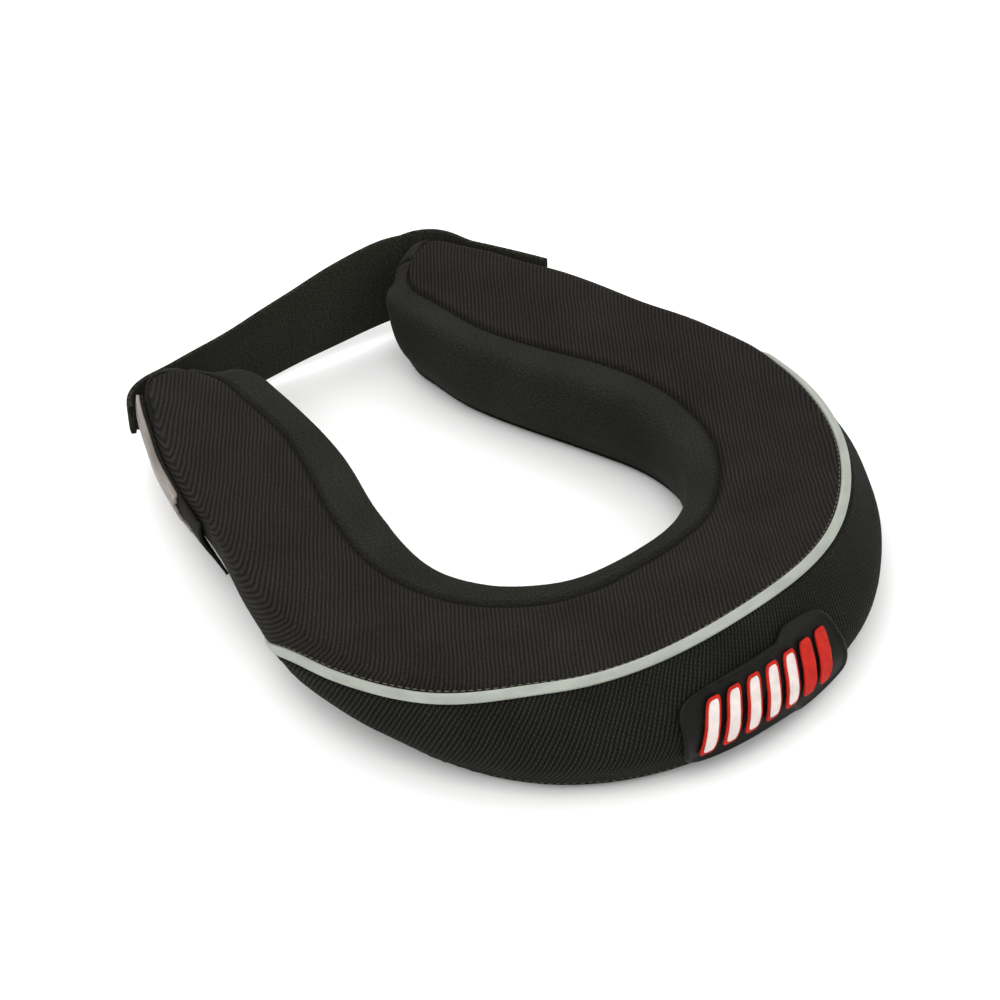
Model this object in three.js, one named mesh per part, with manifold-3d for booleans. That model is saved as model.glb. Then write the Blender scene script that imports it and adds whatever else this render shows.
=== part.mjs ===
// Foam neck collar for motocross: a horseshoe pad with a knitted mesh top, a smooth neck wall,
// a mesh band with a rubber label round the nape, and a throat strap with a hook patch.
// Millimetres, +Z up. The nape is towards -Y, the throat towards +Y, and the pad lies on z = 0.
import * as THREE from "three";
import { mergeVertices } from "three/addons/utils/BufferGeometryUtils.js";
import Module from "manifold-3d";

// Plan of the pad: its middle line is an arc round the nape and a slower arc along each arm
const NAPE_RADIUS = 103;
const NAPE_TURN = 103; // degrees turned by each half of the nape arc
const ARM_LENGTH = 132;
const ARM_TURN = 12; // degrees that an arm curls on inwards

// Cross-section of the pad
const INNER_REACH = 40; // middle line to the neck wall
const OUTER_REACH = 49; // middle line to the outer wall at the nape
const PAD_HEIGHT = 46;
const CROWN = 2; // bulge of the top between its two edges
const NECK_EDGE = 2; // how far the neck wall's top edge is set back
const NECK_FOOT = 10; // how far the neck wall's foot is set back
const TIP_ROUNDING = 20; // length of the rounded end of an arm
const TIP_POWER = 2.6; // 2 is an ellipse, more is squarer
const TIP_DROP = 0.3; // share of the height lost at the very end
const TIP_DROP_POWER = 5; // how late along the rounding that height is lost
const TIP_LEVEL = 0.45; // share of the crease's height that the tip closes towards
const TIP_SETBACK = 14; // how far back the foot of an arm's end stands
const TIP_SETBACK_LENGTH = 60; // length of the arm over which that fades
const TIP_CLOSED = 0.9995; // share of the rounding where the last section stands
const NECK_EDGE_RISE = 0.5; // of the neck wall's top edge above the seam
const ROUND_REACH = 0.38; // longest share of a section's edge that one rounding takes

// Layers and clearances
const SKIN = 2.2;
const GAP = 0.3;
const CORE_GAP = 0.8; // between the foam and its covers
const WALL_GAP = 0.8; // under what is laid on the curved wall

// Piping in the seam between top and nape band
const PIPING_WIDTH = 4;
const PIPING_RISE = 1;
const PIPING_ROOT = 1.3; // depth of the piping in the seam

// Rim of smooth fabric over the end of each arm
const TIP_RIM = 8.5;
const TIP_RIM_OVERLAP = 2; // of its outline past the outer wall

// Rubber label on the nape band
const LABEL_LENGTH = 86;
const LABEL_HEIGHT = 29;
const LABEL_THICKNESS = 1.6;
const LABEL_DROP = 31; // from the crease down the wall to the middle of the label
const LABEL_SHIFT = -8; // of its middle along the wall
const LABEL_HEAD = 4; // how much further up and down its +X end reaches
const LABEL_HEAD_START = 9; // from the label's middle to where that end begins to widen
const LABEL_HEAD_BLEND = 9; // length along which it widens
const LABEL_SQUARENESS = 8; // power of the label's rounded outline
const LABEL_END = 0.3; // height of the label's very ends, as a share of its height
const LABEL_BARS = 7;
const LABEL_BAR_RISE = 0.9;
const LABEL_BAR_MARGIN = 13; // from the label's end to the middle of its first bar
const LABEL_BAR_WIDTH = 0.55; // share of the bars' pitch
const LABEL_BAR_REACH = 0.6; // share of the label's height
const LABEL_BAR_SLANT = 22; // degrees

// Throat strap, its hook patch and the flap behind that patch
const STRAP_WIDTH = 38;
const STRAP_THICKNESS = 2.8;
const STRAP_FOOT = 5; // height of the strap's lower edge
const STRAP_SEWN_LENGTH = 62; // along the outside of the +X arm
const STRAP_FREE_END = 21; // past the tip of the -X arm, along its outside
const STRAP_END_RISE = 24; // of its lower edge towards the slanted free end
const STRAP_END_SLANT = 34; // length along which that edge rises
const STRAP_SPAN_RISE = 3.5; // of both edges at the +X arm
const STRAP_SPAN_SAG = 3; // of both edges at the -X arm's tip
const STRAP_SAG_REACH = 0.6; // share of the half span, from its middle, past which that sag is full
const STRAP_SPAN_LEAN = 17; // degrees, outwards towards the +X arm and inwards towards the -X arm
const STRAP_UPRIGHT = 0.5; // share of that lean lost again where the strap meets the +X arm
const STRAP_UPRIGHT_POWER = 6; // how late the lean is lost at both arms
const HOOK_LENGTH = 64;
const HOOK_THICKNESS = 1.4;
const HOOK_FROM_TIP = 15; // along the -X arm
const HOOK_DROP = 5; // from the crease down the wall
const HOOK_HEIGHT = 30;
const FLAP_LENGTH = 21;
const FLAP_THICKNESS = 1.2;

// Sections along half the middle line, from the nape (0) to the tip (1). Reaches of the neck wall and the
// seam are shares of INNER_REACH, those of crease, side and foot of OUTER_REACH, heights of PAD_HEIGHT.
// The slimness, a share of OUTER_REACH, is taken off on the -X arm alone, which is the narrower one.
const SECTION_COLUMNS =
  "at neck seam seamTop crease creaseTop side sideTop foot slimness".split(" ");
const SECTIONS = [
  [0.0, 0.94, 0.66, 0.95, 0.47, 1.09, 1.0, 0.45, 0.8, 0],
  [0.2, 0.93, 0.59, 0.87, 0.55, 0.96, 0.96, 0.43, 0.76, 0],
  [0.4, 0.98, 0.52, 0.86, 0.62, 0.92, 0.86, 0.5, 0.44, 0.105],
  [0.6, 1.11, 0.57, 0.91, 0.52, 0.98, 0.56, 0.64, 0.18, 0.08],
  [0.8, 1.12, 0.66, 0.89, 0.49, 1.02, 0.54, 0.74, 0.09, 0.01],
  [1.0, 0.76, 0.28, 0.91, 0.4, 1.06, 0.47, 0.76, -0.04, 0],
].map((row) => Object.fromEntries(row.map((value, k) => [SECTION_COLUMNS[k], value])));

// Rounding of the section's corners: radius and steps of each
const ROUNDS = {
  neckFoot: { radius: 8, steps: 2 },
  foot: { radius: 9, steps: 2 },
  side: { radius: 50, steps: 2 },
  crease: { radius: 7, steps: 2 },
  crown: { radius: 120, steps: 1 },
  seam: { radius: 80, steps: 1 },
  neckEdge: { radius: 10, steps: 2 },
  neckWall: { radius: 50, steps: 1 },
};

// Route of the piping round the nape, by share of the half line: how far below the crease it runs, in mm,
// and how much further down it hangs towards the -X arm
const PIPING_ROUTE = [
  { at: 0.0, drop: 0, slack: 0 },
  { at: 0.22, drop: 0, slack: 0.5 },
  { at: 0.32, drop: 0.3, slack: 5 },
  { at: 0.42, drop: 1, slack: 7 },
  { at: 0.48, drop: 3.5, slack: 8.5 },
  { at: 0.53, drop: 18, slack: 6 },
  { at: 0.58, drop: 40, slack: 0 },
];

const BODY_STATIONS = 13; // along each half of the pad, up to the rounding of its tip
const TIP_STATIONS = 4; // round the tip
const PIPING_STATIONS = 48;
const STRAP_STATIONS = 64;
const SHEET_STRIPS = 5; // across a sheet laid on the wall
const HOOK_STATIONS = 14;
const LABEL_STATIONS = 24;

const { PI, abs, acos, atan2, ceil, cos, max, min, pow, sign, sin, tan } = Math;
const { degToRad, clamp, lerp, smoothstep } = THREE.MathUtils;
const wasm = await Module();
wasm.setup();

const NAPE_RUN = NAPE_RADIUS * degToRad(NAPE_TURN);
const HALF_LENGTH = NAPE_RUN + ARM_LENGTH;

// Middle line: point, heading and outward direction at a share of the half length, negative towards -X
function middleLine(share) {
  const side = sign(share) || 1;
  const run = abs(share) * HALF_LENGTH;
  const turned = min(run, NAPE_RUN) / NAPE_RADIUS;
  const armRadius = ARM_LENGTH / degToRad(ARM_TURN);
  const heading = turned + max(0, run - NAPE_RUN) / armRadius;
  const x = NAPE_RADIUS * sin(turned) + armRadius * (sin(heading) - sin(turned));
  const y = -NAPE_RADIUS * cos(turned) - armRadius * (cos(heading) - cos(turned));
  return { x: side * x, y, outX: side * sin(heading), outY: -cos(heading) };
}

// A column of a table at a share, by a smooth curve through the rows, mirrored at share 0
function columnAt(rows, column, share) {
  const at = abs(share);
  const last = rows.length - 1;
  const lastSpan = rows[last].at - rows[last - 1].at;
  const start = clamp(rows.findLastIndex((row) => row.at <= at), 0, last - 1);
  const row = (k) => {
    if (k < 0) return { at: -rows[-k].at, value: rows[-k][column] };
    const held = rows[min(k, last)];
    return { at: held.at + max(0, k - last) * lastSpan, value: held[column] };
  };
  const [a, b, c, d] = [-1, 0, 1, 2].map((k) => row(start + k));
  const span = c.at - b.at;
  const t = clamp((at - b.at) / span, 0, 1);
  const slopeB = ((c.value - a.value) / (c.at - a.at)) * span;
  const slopeC = ((d.value - b.value) / (d.at - b.at)) * span;
  const t2 = t * t;
  const t3 = t2 * t;
  const fromB = (2 * t3 - 3 * t2 + 1) * b.value + (t3 - 2 * t2 + t) * slopeB;
  return fromB + (3 * t2 - 2 * t3) * c.value + (t3 - t2) * slopeC;
}

// Corners of the section at a share, anticlockwise with the outside to the right
function sectionCorners(share) {
  const at = (column) => columnAt(SECTIONS, column, share);
  const neck = -INNER_REACH * at("neck");
  const seam = -INNER_REACH * at("seam");
  const seamTop = PAD_HEIGHT * at("seamTop");
  const slimness = share < 0 ? at("slimness") : 0;
  const crease = OUTER_REACH * (at("crease") - slimness / 2);
  const creaseTop = PAD_HEIGHT * at("creaseTop");
  return {
    neckFoot: [neck + NECK_FOOT, 0],
    foot: [OUTER_REACH * (at("foot") - slimness), 0],
    side: [OUTER_REACH * (at("side") - slimness), PAD_HEIGHT * at("sideTop")],
    crease: [crease, creaseTop],
    crown: [(seam + crease) / 2, (seamTop + creaseTop) / 2 + CROWN],
    seam: [seam, seamTop],
    neckEdge: [neck + NECK_EDGE, seamTop + NECK_EDGE_RISE],
    neckWall: [neck, seamTop / 2],
  };
}

// Points of an arc that rounds one corner, with its middle point marked by the corner's name
function roundCorner(name, before, corner, after) {
  const { radius, steps } = ROUNDS[name];
  const toBefore = before.clone().sub(corner);
  const toAfter = after.clone().sub(corner);
  const reach = ROUND_REACH * min(toBefore.length(), toAfter.length());
  toBefore.normalize();
  toAfter.normalize();
  const half = acos(clamp(toBefore.dot(toAfter), -1, 1)) / 2;
  const tangent = min(radius / tan(half), reach);
  const middle = toBefore.clone().add(toAfter).normalize();
  const centre = corner.clone().addScaledVector(middle, tangent / cos(half));
  const start = corner.clone().addScaledVector(toBefore, tangent).sub(centre);
  const end = corner.clone().addScaledVector(toAfter, tangent).sub(centre);
  const turn = atan2(start.cross(end), start.dot(end));
  const points = [];
  for (let i = 0; i <= steps; i += 1) {
    const point = start.clone().rotateAround(new THREE.Vector2(), (turn * i) / steps).add(centre);
    if (i === ceil(steps / 2)) point.mark = name;
    points.push(point);
  }
  return points;
}

// Section outline at a share, drawn in by an inset, and narrowed where the arm's end is rounded off
function section(share, inset = 0) {
  const corners = sectionCorners(share);
  const names = Object.keys(corners);
  const at = names.map((name) => new THREE.Vector2(...corners[name]));
  const around = (i) => at[(i + at.length) % at.length];
  const outline = names.flatMap((name, i) => roundCorner(name, around(i - 1), at[i], around(i + 1)));
  const count = outline.length;
  const moved = outline.map((point, i) => {
    const along = outline[(i + 1) % count].clone().sub(outline[(i + count - 1) % count]).normalize();
    const inner = new THREE.Vector2(point.x - along.y * inset, max(point.y + along.x * inset, inset));
    inner.mark = point.mark;
    return inner;
  });
  const toTip = HALF_LENGTH * (1 - abs(share)) - inset;
  const tip = clamp(1 - toTip / (TIP_ROUNDING - inset), 0, TIP_CLOSED);
  const narrow = pow(1 - pow(tip, TIP_POWER), 1 / TIP_POWER);
  const lower = 1 - TIP_DROP * pow(tip, TIP_DROP_POWER);
  const middleX = (corners.side[0] + corners.neckWall[0]) / 2;
  const middleZ = TIP_LEVEL * corners.crease[1];
  for (const point of moved) {
    point.x = middleX + (point.x - middleX) * narrow;
    point.y = middleZ + (point.y - middleZ) * lower;
  }
  return moved;
}

// A point of a section in the pad's frame; near a tip the sections lean, with their feet set back
function inPlane(share, reach, z) {
  const toTip = HALF_LENGTH * (1 - abs(share));
  const setback = TIP_SETBACK * (1 - smoothstep(toTip, 0, TIP_SETBACK_LENGTH));
  const back = setback * clamp(1 - z / PAD_HEIGHT, 0, 1);
  const line = middleLine(share - (sign(share) * back) / HALF_LENGTH);
  return new THREE.Vector3(line.x + line.outX * reach, line.y + line.outY * reach, z);
}

// Closed solid through rings of points, each ring with the same count
function loft(rings) {
  const count = rings[0].length;
  const points = rings.flat();
  const index = [];
  for (let i = 0; i + 1 < rings.length; i += 1) {
    for (let j = 0; j < count; j += 1) {
      const a = i * count + j;
      const b = i * count + ((j + 1) % count);
      index.push(a, b, b + count, a, b + count, a + count);
    }
  }
  const lastRing = (rings.length - 1) * count;
  for (const [first, order] of [[0, 1], [lastRing, -1]]) {
    const flat = rings[first / count];
    const normal = new THREE.Vector3();
    flat.forEach((p, j) => normal.add(p.clone().cross(flat[(j + 1) % count])));
    normal.normalize();
    const across = flat[1].clone().sub(flat[0]).normalize();
    const up = normal.clone().cross(across);
    const contour = flat.map((p) => new THREE.Vector2(p.dot(across), p.dot(up)));
    for (const [a, b, c] of THREE.ShapeUtils.triangulateShape(contour, [])) {
      index.push(...(order > 0 ? [first + a, first + c, first + b] : [first + a, first + b, first + c]));
    }
  }
  const geometry = new THREE.BufferGeometry().setFromPoints(points).setIndex(index);
  return facesOut(geometry);
}

// The geometry with its faces turned outwards, judged by the sign of its volume
function facesOut(geometry) {
  const index = geometry.index.array;
  const place = geometry.attributes.position;
  const corner = (k) => new THREE.Vector3().fromBufferAttribute(place, index[k]);
  let volume = 0;
  for (let k = 0; k < index.length; k += 3) {
    volume += corner(k).dot(corner(k + 1).cross(corner(k + 2)));
  }
  if (volume < 0) {
    for (let k = 0; k < index.length; k += 3) [index[k], index[k + 1]] = [index[k + 1], index[k]];
  }
  return geometry;
}

// Between three.js geometry and a solid that can be cut and joined
function toSolid(geometry) {
  const bare = geometry.clone();
  for (const name of Object.keys(bare.attributes)) {
    if (name !== "position") bare.deleteAttribute(name);
  }
  const merged = mergeVertices(bare, 1e-4);
  const vertProperties = new Float32Array(merged.attributes.position.array);
  const triVerts = new Uint32Array(merged.index.array);
  return new wasm.Manifold(new wasm.Mesh({ numProp: 3, vertProperties, triVerts }));
}

function toGeometry(solid) {
  const mesh = solid.getMesh();
  const geometry = new THREE.BufferGeometry();
  geometry.setAttribute("position", new THREE.BufferAttribute(mesh.vertProperties, 3));
  geometry.setIndex(new THREE.BufferAttribute(mesh.triVerts, 1));
  return geometry;
}

// The largest body of a cut, without the slivers that a cut can leave beside it
function mainBody(solid) {
  return solid.decompose().reduce((best, part) => (part.volume() > best.volume() ? part : best));
}

// Pad body drawn in by an inset, from tip to tip
function padBody(inset) {
  const rings = bodyShares(inset).map((share) =>
    section(share, inset).map((point) => inPlane(share, point.x, point.y)),
  );
  return toSolid(loft(rings));
}

// Shares of the rings from tip to tip, closer together round each tip, with the tips shortened
function bodyShares(shortened) {
  const straight = HALF_LENGTH - TIP_ROUNDING;
  const rounding = TIP_ROUNDING - shortened;
  const runs = Array.from({ length: BODY_STATIONS + 1 }, (_, i) => (straight * i) / BODY_STATIONS);
  for (let i = 1; i <= TIP_STATIONS; i += 1) {
    runs.push(straight + rounding * sin((PI / 2) * (i / TIP_STATIONS)));
  }
  const shares = runs.map((run) => run / HALF_LENGTH);
  return [...shares.slice(1).reverse().map((share) => -share), ...shares];
}

// Level slice of space between two heights
function slab(bottom, top) {
  const size = 4 * HALF_LENGTH;
  const box = new THREE.BoxGeometry(size, size, top - bottom);
  return toSolid(box.translate(0, 0, (top + bottom) / 2));
}

// Where an arm's end narrows when it is shortened by a rim
function tipNarrowing(share, rim) {
  const toTip = HALF_LENGTH * (1 - abs(share)) - rim;
  const tip = clamp(1 - toTip / (TIP_ROUNDING - rim), 0, 1);
  return pow(1 - pow(tip, TIP_POWER), 1 / TIP_POWER);
}

// Upright block over the neck hole, the throat and the arms' ends, as far as the seam of the top
function neckSide(clearance) {
  const rim = TIP_RIM + clearance;
  const rings = bodyShares(rim);
  const between = rings.slice(1).map((share, i) => (share + rings[i]) / 2);
  const shares = [rings[0], ...between, rings.at(-1)];
  const tip = shares.slice(-1 - TIP_STATIONS, -1);
  const pathPoint = (share, edge) => {
    const { neckWall, side } = sectionCorners(share);
    const middle = (side[0] + neckWall[0]) / 2;
    return inPlane(share, lerp(middle, edge, tipNarrowing(share, rim)), PAD_HEIGHT);
  };
  const seamPoint = (share) => pathPoint(share, sectionCorners(share).seam[0] + clearance);
  const sidePoint = (share) => pathPoint(share, sectionCorners(share).side[0] + TIP_RIM_OVERLAP);
  const far = 3 * OUTER_REACH;
  const front = inPlane(1, 0, PAD_HEIGHT).y + far;
  const path = [
    inPlane(-tip[0], far, PAD_HEIGHT),
    ...tip.map((share) => sidePoint(-share)),
    ...shares.map(seamPoint),
    ...tip.toReversed().map(sidePoint),
    inPlane(tip[0], far, PAD_HEIGHT),
    new THREE.Vector3(2 * far, front, 0),
    new THREE.Vector3(-2 * far, front, 0),
  ];
  const shape = new THREE.Shape(path.map((point) => new THREE.Vector2(point.x, point.y)));
  const block = new THREE.ExtrudeGeometry(shape, { depth: 3 * PAD_HEIGHT, bevelEnabled: false });
  return toSolid(block.translate(0, 0, -PAD_HEIGHT));
}

// Point of the outer wall a distance below the crease, with the outward normal and the way down
function wallSpot(share, drop) {
  const outline = section(share);
  const crease = outline.findIndex((point) => point.mark === "crease");
  let left = drop;
  let k = crease;
  const downLength = () => outline[k].distanceTo(outline[k - 1]);
  while (k > 1 && left > downLength()) {
    left -= downLength();
    k -= 1;
  }
  const down = outline[k - 1].clone().sub(outline[k]).normalize();
  const spot = outline[k].clone().addScaledVector(down, left);
  const above = outline[k + 1].clone().sub(outline[k]).normalize().negate();
  const onCrease = left < PIPING_RISE;
  const way = onCrease ? down.clone().add(above).normalize() : down;
  return { spot, normal: new THREE.Vector2(-way.y, way.x), down: way };
}

// A place off the wall: lifted along its normal and slid down it
function offWall(share, drop, lift, slide = 0) {
  const { spot, normal, down } = wallSpot(share, drop);
  const point = spot.clone().addScaledVector(normal, lift).addScaledVector(down, slide);
  return inPlane(share, point.x, point.y);
}

const pipingEnd = PIPING_ROUTE.at(-1).at;

// How far below the crease the piping runs at a share
function pipingDrop(share) {
  const slack = share < 0 ? columnAt(PIPING_ROUTE, "slack", share) : 0;
  return columnAt(PIPING_ROUTE, "drop", share) + slack;
}

function pipingShares() {
  return Array.from({ length: PIPING_STATIONS + 1 }, (_, i) => pipingEnd * ((2 * i) / PIPING_STATIONS - 1));
}

// Piping, or with a clearance the groove that holds it
function pipingSolid(clearance) {
  const half = PIPING_WIDTH / 2 + clearance;
  const bottom = -PIPING_ROOT - clearance;
  const top = PIPING_RISE + clearance;
  const rings = pipingShares().map((share) => {
    const drop = pipingDrop(share);
    return [[bottom, -half], [bottom, half], [top, half], [top, -half]].map(([lift, slide]) =>
      offWall(share, drop, lift, slide),
    );
  });
  return toSolid(loft(rings));
}

// Space outside and below the piping, which the nape band fills
function bandSide() {
  const rings = pipingShares().map((share) => {
    const { spot, normal } = wallSpot(share, pipingDrop(share));
    const deep = spot.clone().addScaledVector(normal, -3 * SKIN);
    const out = spot.clone().addScaledVector(normal, OUTER_REACH / 2);
    const far = out.x + OUTER_REACH;
    const under = sectionCorners(share).foot[0] - ROUNDS.foot.radius - SKIN;
    const ring = [[under, -PAD_HEIGHT], [far, -PAD_HEIGHT], [far, out.y], [out.x, out.y], [deep.x, deep.y]];
    return ring.map(([reach, z]) => inPlane(share, reach, z));
  });
  return toSolid(loft(rings));
}

// Thin sheet that lies off the wall: outline by stations along it, each with the drops of its two edges
function wallSheet(stations, low, high) {
  const rings = stations.map(({ share, from, to }) => {
    const drops = Array.from({ length: SHEET_STRIPS + 1 }, (_, i) => lerp(from, to, i / SHEET_STRIPS));
    const outside = drops.map((drop) => offWall(share, drop, high));
    const inside = drops.map((drop) => offWall(share, drop, low)).reverse();
    return [...outside, ...inside];
  });
  return toSolid(loft(rings));
}

// Share of the half line for a distance along the outer wall of the nape
function napeShare(distance) {
  return ((distance / (NAPE_RADIUS + OUTER_REACH)) * NAPE_RADIUS) / HALF_LENGTH;
}

// Rubber label: a rounded plate with slanted raised bars, moulded in one piece
function labelSolid() {
  const stations = Array.from({ length: LABEL_STATIONS + 1 }, (_, i) => {
    const along = -cos((PI * i) / LABEL_STATIONS);
    const round = pow(1 - pow(abs(along), LABEL_SQUARENESS), 1 / 3);
    const distance = (along * LABEL_LENGTH) / 2;
    const head = LABEL_HEAD * smoothstep(distance, LABEL_HEAD_START, LABEL_HEAD_START + LABEL_HEAD_BLEND);
    const half = (LABEL_HEIGHT / 2 + head) * max(LABEL_END, round);
    return { share: napeShare(distance + LABEL_SHIFT), from: LABEL_DROP - half, to: LABEL_DROP + half };
  });
  let label = wallSheet(stations, WALL_GAP, WALL_GAP + LABEL_THICKNESS);
  const pitch = (LABEL_LENGTH - LABEL_BAR_MARGIN * 2) / (LABEL_BARS - 1);
  for (let k = 0; k < LABEL_BARS; k += 1) {
    label = label.add(labelBar(pitch * (k - (LABEL_BARS - 1) / 2) + LABEL_SHIFT, pitch));
  }
  return label;
}

// One bar of the label, slanted along the wall, rising from inside the plate
function labelBar(middle, pitch) {
  const steps = 2;
  const low = WALL_GAP + LABEL_THICKNESS / 2;
  const high = WALL_GAP + LABEL_THICKNESS + LABEL_BAR_RISE;
  const half = (pitch * LABEL_BAR_WIDTH) / 2;
  const rings = Array.from({ length: steps + 1 }, (_, i) => {
    const across = LABEL_HEIGHT * LABEL_BAR_REACH * (i / steps - 1 / 2);
    const slant = -across * tan(degToRad(LABEL_BAR_SLANT));
    return [[-half, low], [half, low], [half, high], [-half, high]].map(([aside, lift]) =>
      offWall(napeShare(middle + slant + aside), LABEL_DROP + across, lift),
    );
  });
  return toSolid(loft(rings));
}

// Outermost line of the +X arm in plan, from a distance before its tip to its furthest point forward
function tipOutline(length) {
  const steps = 60;
  const start = 1 - length / HALF_LENGTH;
  const line = Array.from({ length: steps + 1 }, (_, i) => {
    const share = lerp(start, 1, 1 - pow(1 - i / steps, 1.5));
    return inPlane(share, max(...section(share).map((point) => point.x)), PAD_HEIGHT).setZ(0);
  });
  const furthest = line.reduce((best, point, i) => (point.y > line[best].y ? i : best), 0);
  return line.slice(0, furthest + 1);
}

// Layers under the strap's free end
const BACKING_LOW = WALL_GAP;
const HOOK_LOW = BACKING_LOW + FLAP_THICKNESS + GAP;
const STRAP_LOW = HOOK_LOW + HOOK_THICKNESS + GAP;

// Strap from where it is sewn outside the +X arm, over both arms' ends, to its free end
function strapSolid() {
  const sewn = tipOutline(STRAP_SEWN_LENGTH);
  const free = tipOutline(STRAP_FREE_END).reverse();
  const corner = sewn.at(-1);
  const plan = [...sewn, ...free.map((point) => new THREE.Vector3(-point.x, point.y, 0))];
  const line = new THREE.CatmullRomCurve3(plan, false, "centripetal");
  const points = line.getSpacedPoints(STRAP_STATIONS);
  const length = line.getLength();
  const rings = points.map((point, i) => {
    const ahead = points[min(i + 1, STRAP_STATIONS)].clone().sub(points[max(i - 1, 0)]).normalize();
    const out = new THREE.Vector3(ahead.y, -ahead.x, 0);
    const across = clamp(point.x / corner.x, -1, 1);
    const off = lerp(STRAP_LOW, GAP, (across + 1) / 2);
    const spanning = smoothstep(point.y, corner.y - TIP_ROUNDING, corner.y);
    const upright = abs(across) ** STRAP_UPRIGHT_POWER * (across > 0 ? STRAP_UPRIGHT : 1);
    const swing = (STRAP_WIDTH / 2) * tan(degToRad(STRAP_SPAN_LEAN)) * spanning * (1 - upright);
    const bottomOff = off + swing * (1 - across);
    const topOff = off + swing * (1 + across);
    const toEnd = length * (1 - i / STRAP_STATIONS);
    const lift = lerp(-STRAP_SPAN_SAG * spanning, STRAP_SPAN_RISE, smoothstep(across, -STRAP_SAG_REACH, 1));
    const bottom = STRAP_FOOT + lift + STRAP_END_RISE * (1 - smoothstep(toEnd, 0, STRAP_END_SLANT));
    const top = STRAP_FOOT + lift + STRAP_WIDTH;
    const place = (height, reach) => point.clone().addScaledVector(out, reach).setZ(height);
    return [
      place(bottom, bottomOff),
      place(bottom, bottomOff + STRAP_THICKNESS),
      place(top, topOff + STRAP_THICKNESS),
      place(top, topOff),
    ];
  });
  return toSolid(loft(rings));
}

// Hook patch, or its backing with the flap past it, on the outside of the -X arm
function hookSheet(flap, low, thickness) {
  const pitch = HOOK_LENGTH / HOOK_STATIONS;
  const runs = Array.from({ length: HOOK_STATIONS + 1 }, (_, i) => pitch * i);
  for (let run = HOOK_LENGTH + pitch; run < HOOK_LENGTH + flap; run += pitch) runs.push(run);
  if (flap > 0) runs.push(HOOK_LENGTH + flap);
  const stations = runs.map((run) => {
    const share = (HOOK_FROM_TIP + run) / HALF_LENGTH - 1;
    return { share, from: HOOK_DROP, to: HOOK_DROP + HOOK_HEIGHT };
  });
  return wallSheet(stations, low, low + thickness);
}

// The pieces, each cut from the same body
const body = padBody(0);
const hollow = padBody(SKIN);
const base = body.intersect(slab(-PAD_HEIGHT, SKIN));
const covers = body.intersect(slab(SKIN + GAP, 3 * PAD_HEIGHT)).subtract(hollow);
const neckCover = mainBody(covers.intersect(neckSide(0)));
const outerCovers = covers.subtract(neckSide(GAP)).subtract(pipingSolid(GAP));
const bandSpace = bandSide();
const napeBand = mainBody(outerCovers.intersect(bandSpace));
const topCover = mainBody(outerCovers.subtract(bandSpace));

const PIECES = [
  { name: "foam_core", solid: padBody(SKIN + CORE_GAP), colour: 0x8a8a86, roughness: 0.95 },
  { name: "base_cover", solid: base, colour: 0x24231f, roughness: 0.95 },
  { name: "neck_cover", solid: neckCover, colour: 0x26261f, roughness: 0.92 },
  { name: "top_cover", solid: topCover, colour: 0x2c2924, roughness: 0.85 },
  { name: "nape_band", solid: napeBand, colour: 0x24231e, roughness: 0.85 },
  { name: "piping", solid: pipingSolid(0), colour: 0xc6cdc1, roughness: 0.4 },
  { name: "nape_label", solid: labelSolid(), colour: 0x1c1c19, roughness: 0.55 },
  { name: "throat_strap", solid: strapSolid(), colour: 0x22231e, roughness: 0.98 },
  {
    name: "hook_backing",
    solid: hookSheet(FLAP_LENGTH, BACKING_LOW, FLAP_THICKNESS),
    colour: 0x201f1c,
    roughness: 0.95,
  },
  {
    name: "hook_patch",
    solid: hookSheet(0, HOOK_LOW, HOOK_THICKNESS),
    colour: 0xa09890,
    roughness: 0.7,
  },
];

const collar = new THREE.Group();
collar.name = "neck_brace";
for (const { name, solid, colour, roughness } of PIECES) {
  const material = new THREE.MeshStandardMaterial({ color: colour, roughness, metalness: 0 });
  const mesh = new THREE.Mesh(toGeometry(solid), material);
  mesh.name = name;
  collar.add(mesh);
}

// The origin is under the middle of the whole collar, on the surface it lies on
const bounds = new THREE.Box3().setFromObject(collar);
const centre = bounds.getCenter(new THREE.Vector3());
collar.position.set(-centre.x, -centre.y, -bounds.min.z);

export default collar;
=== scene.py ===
"""Looks of a foam neck collar: panels, piping, rubber label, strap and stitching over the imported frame.

The pad is one surface of two parameters: a share of half the middle line (0 at the nape, 1 at the +X
arm's tip, -1 at the other) and a length round the section there. Sizes are in millimetres until a mesh
is made.
"""

import logging
import math
from dataclasses import dataclass, field
from enum import Enum

import bmesh
import bpy
import numpy as np
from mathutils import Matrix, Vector
from numpy.typing import NDArray


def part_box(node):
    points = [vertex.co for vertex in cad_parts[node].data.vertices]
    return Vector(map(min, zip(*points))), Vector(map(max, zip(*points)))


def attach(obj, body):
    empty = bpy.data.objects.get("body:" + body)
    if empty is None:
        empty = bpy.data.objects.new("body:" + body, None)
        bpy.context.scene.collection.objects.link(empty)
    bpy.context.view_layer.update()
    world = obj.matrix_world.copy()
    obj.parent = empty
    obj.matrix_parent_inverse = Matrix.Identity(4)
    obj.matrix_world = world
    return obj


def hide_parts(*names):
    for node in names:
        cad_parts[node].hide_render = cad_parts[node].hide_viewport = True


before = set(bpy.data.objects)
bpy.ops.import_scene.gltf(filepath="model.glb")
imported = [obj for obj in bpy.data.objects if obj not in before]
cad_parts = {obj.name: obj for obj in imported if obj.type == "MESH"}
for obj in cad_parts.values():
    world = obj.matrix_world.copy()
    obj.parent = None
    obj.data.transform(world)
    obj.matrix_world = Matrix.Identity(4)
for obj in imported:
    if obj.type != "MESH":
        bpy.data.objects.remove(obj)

Array = NDArray[np.float64]
MM = 0.001
log = logging.getLogger("neck_collar")

FAR_FROM_SEAMS = 10.0
TO_CENTRE = 60.0

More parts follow.
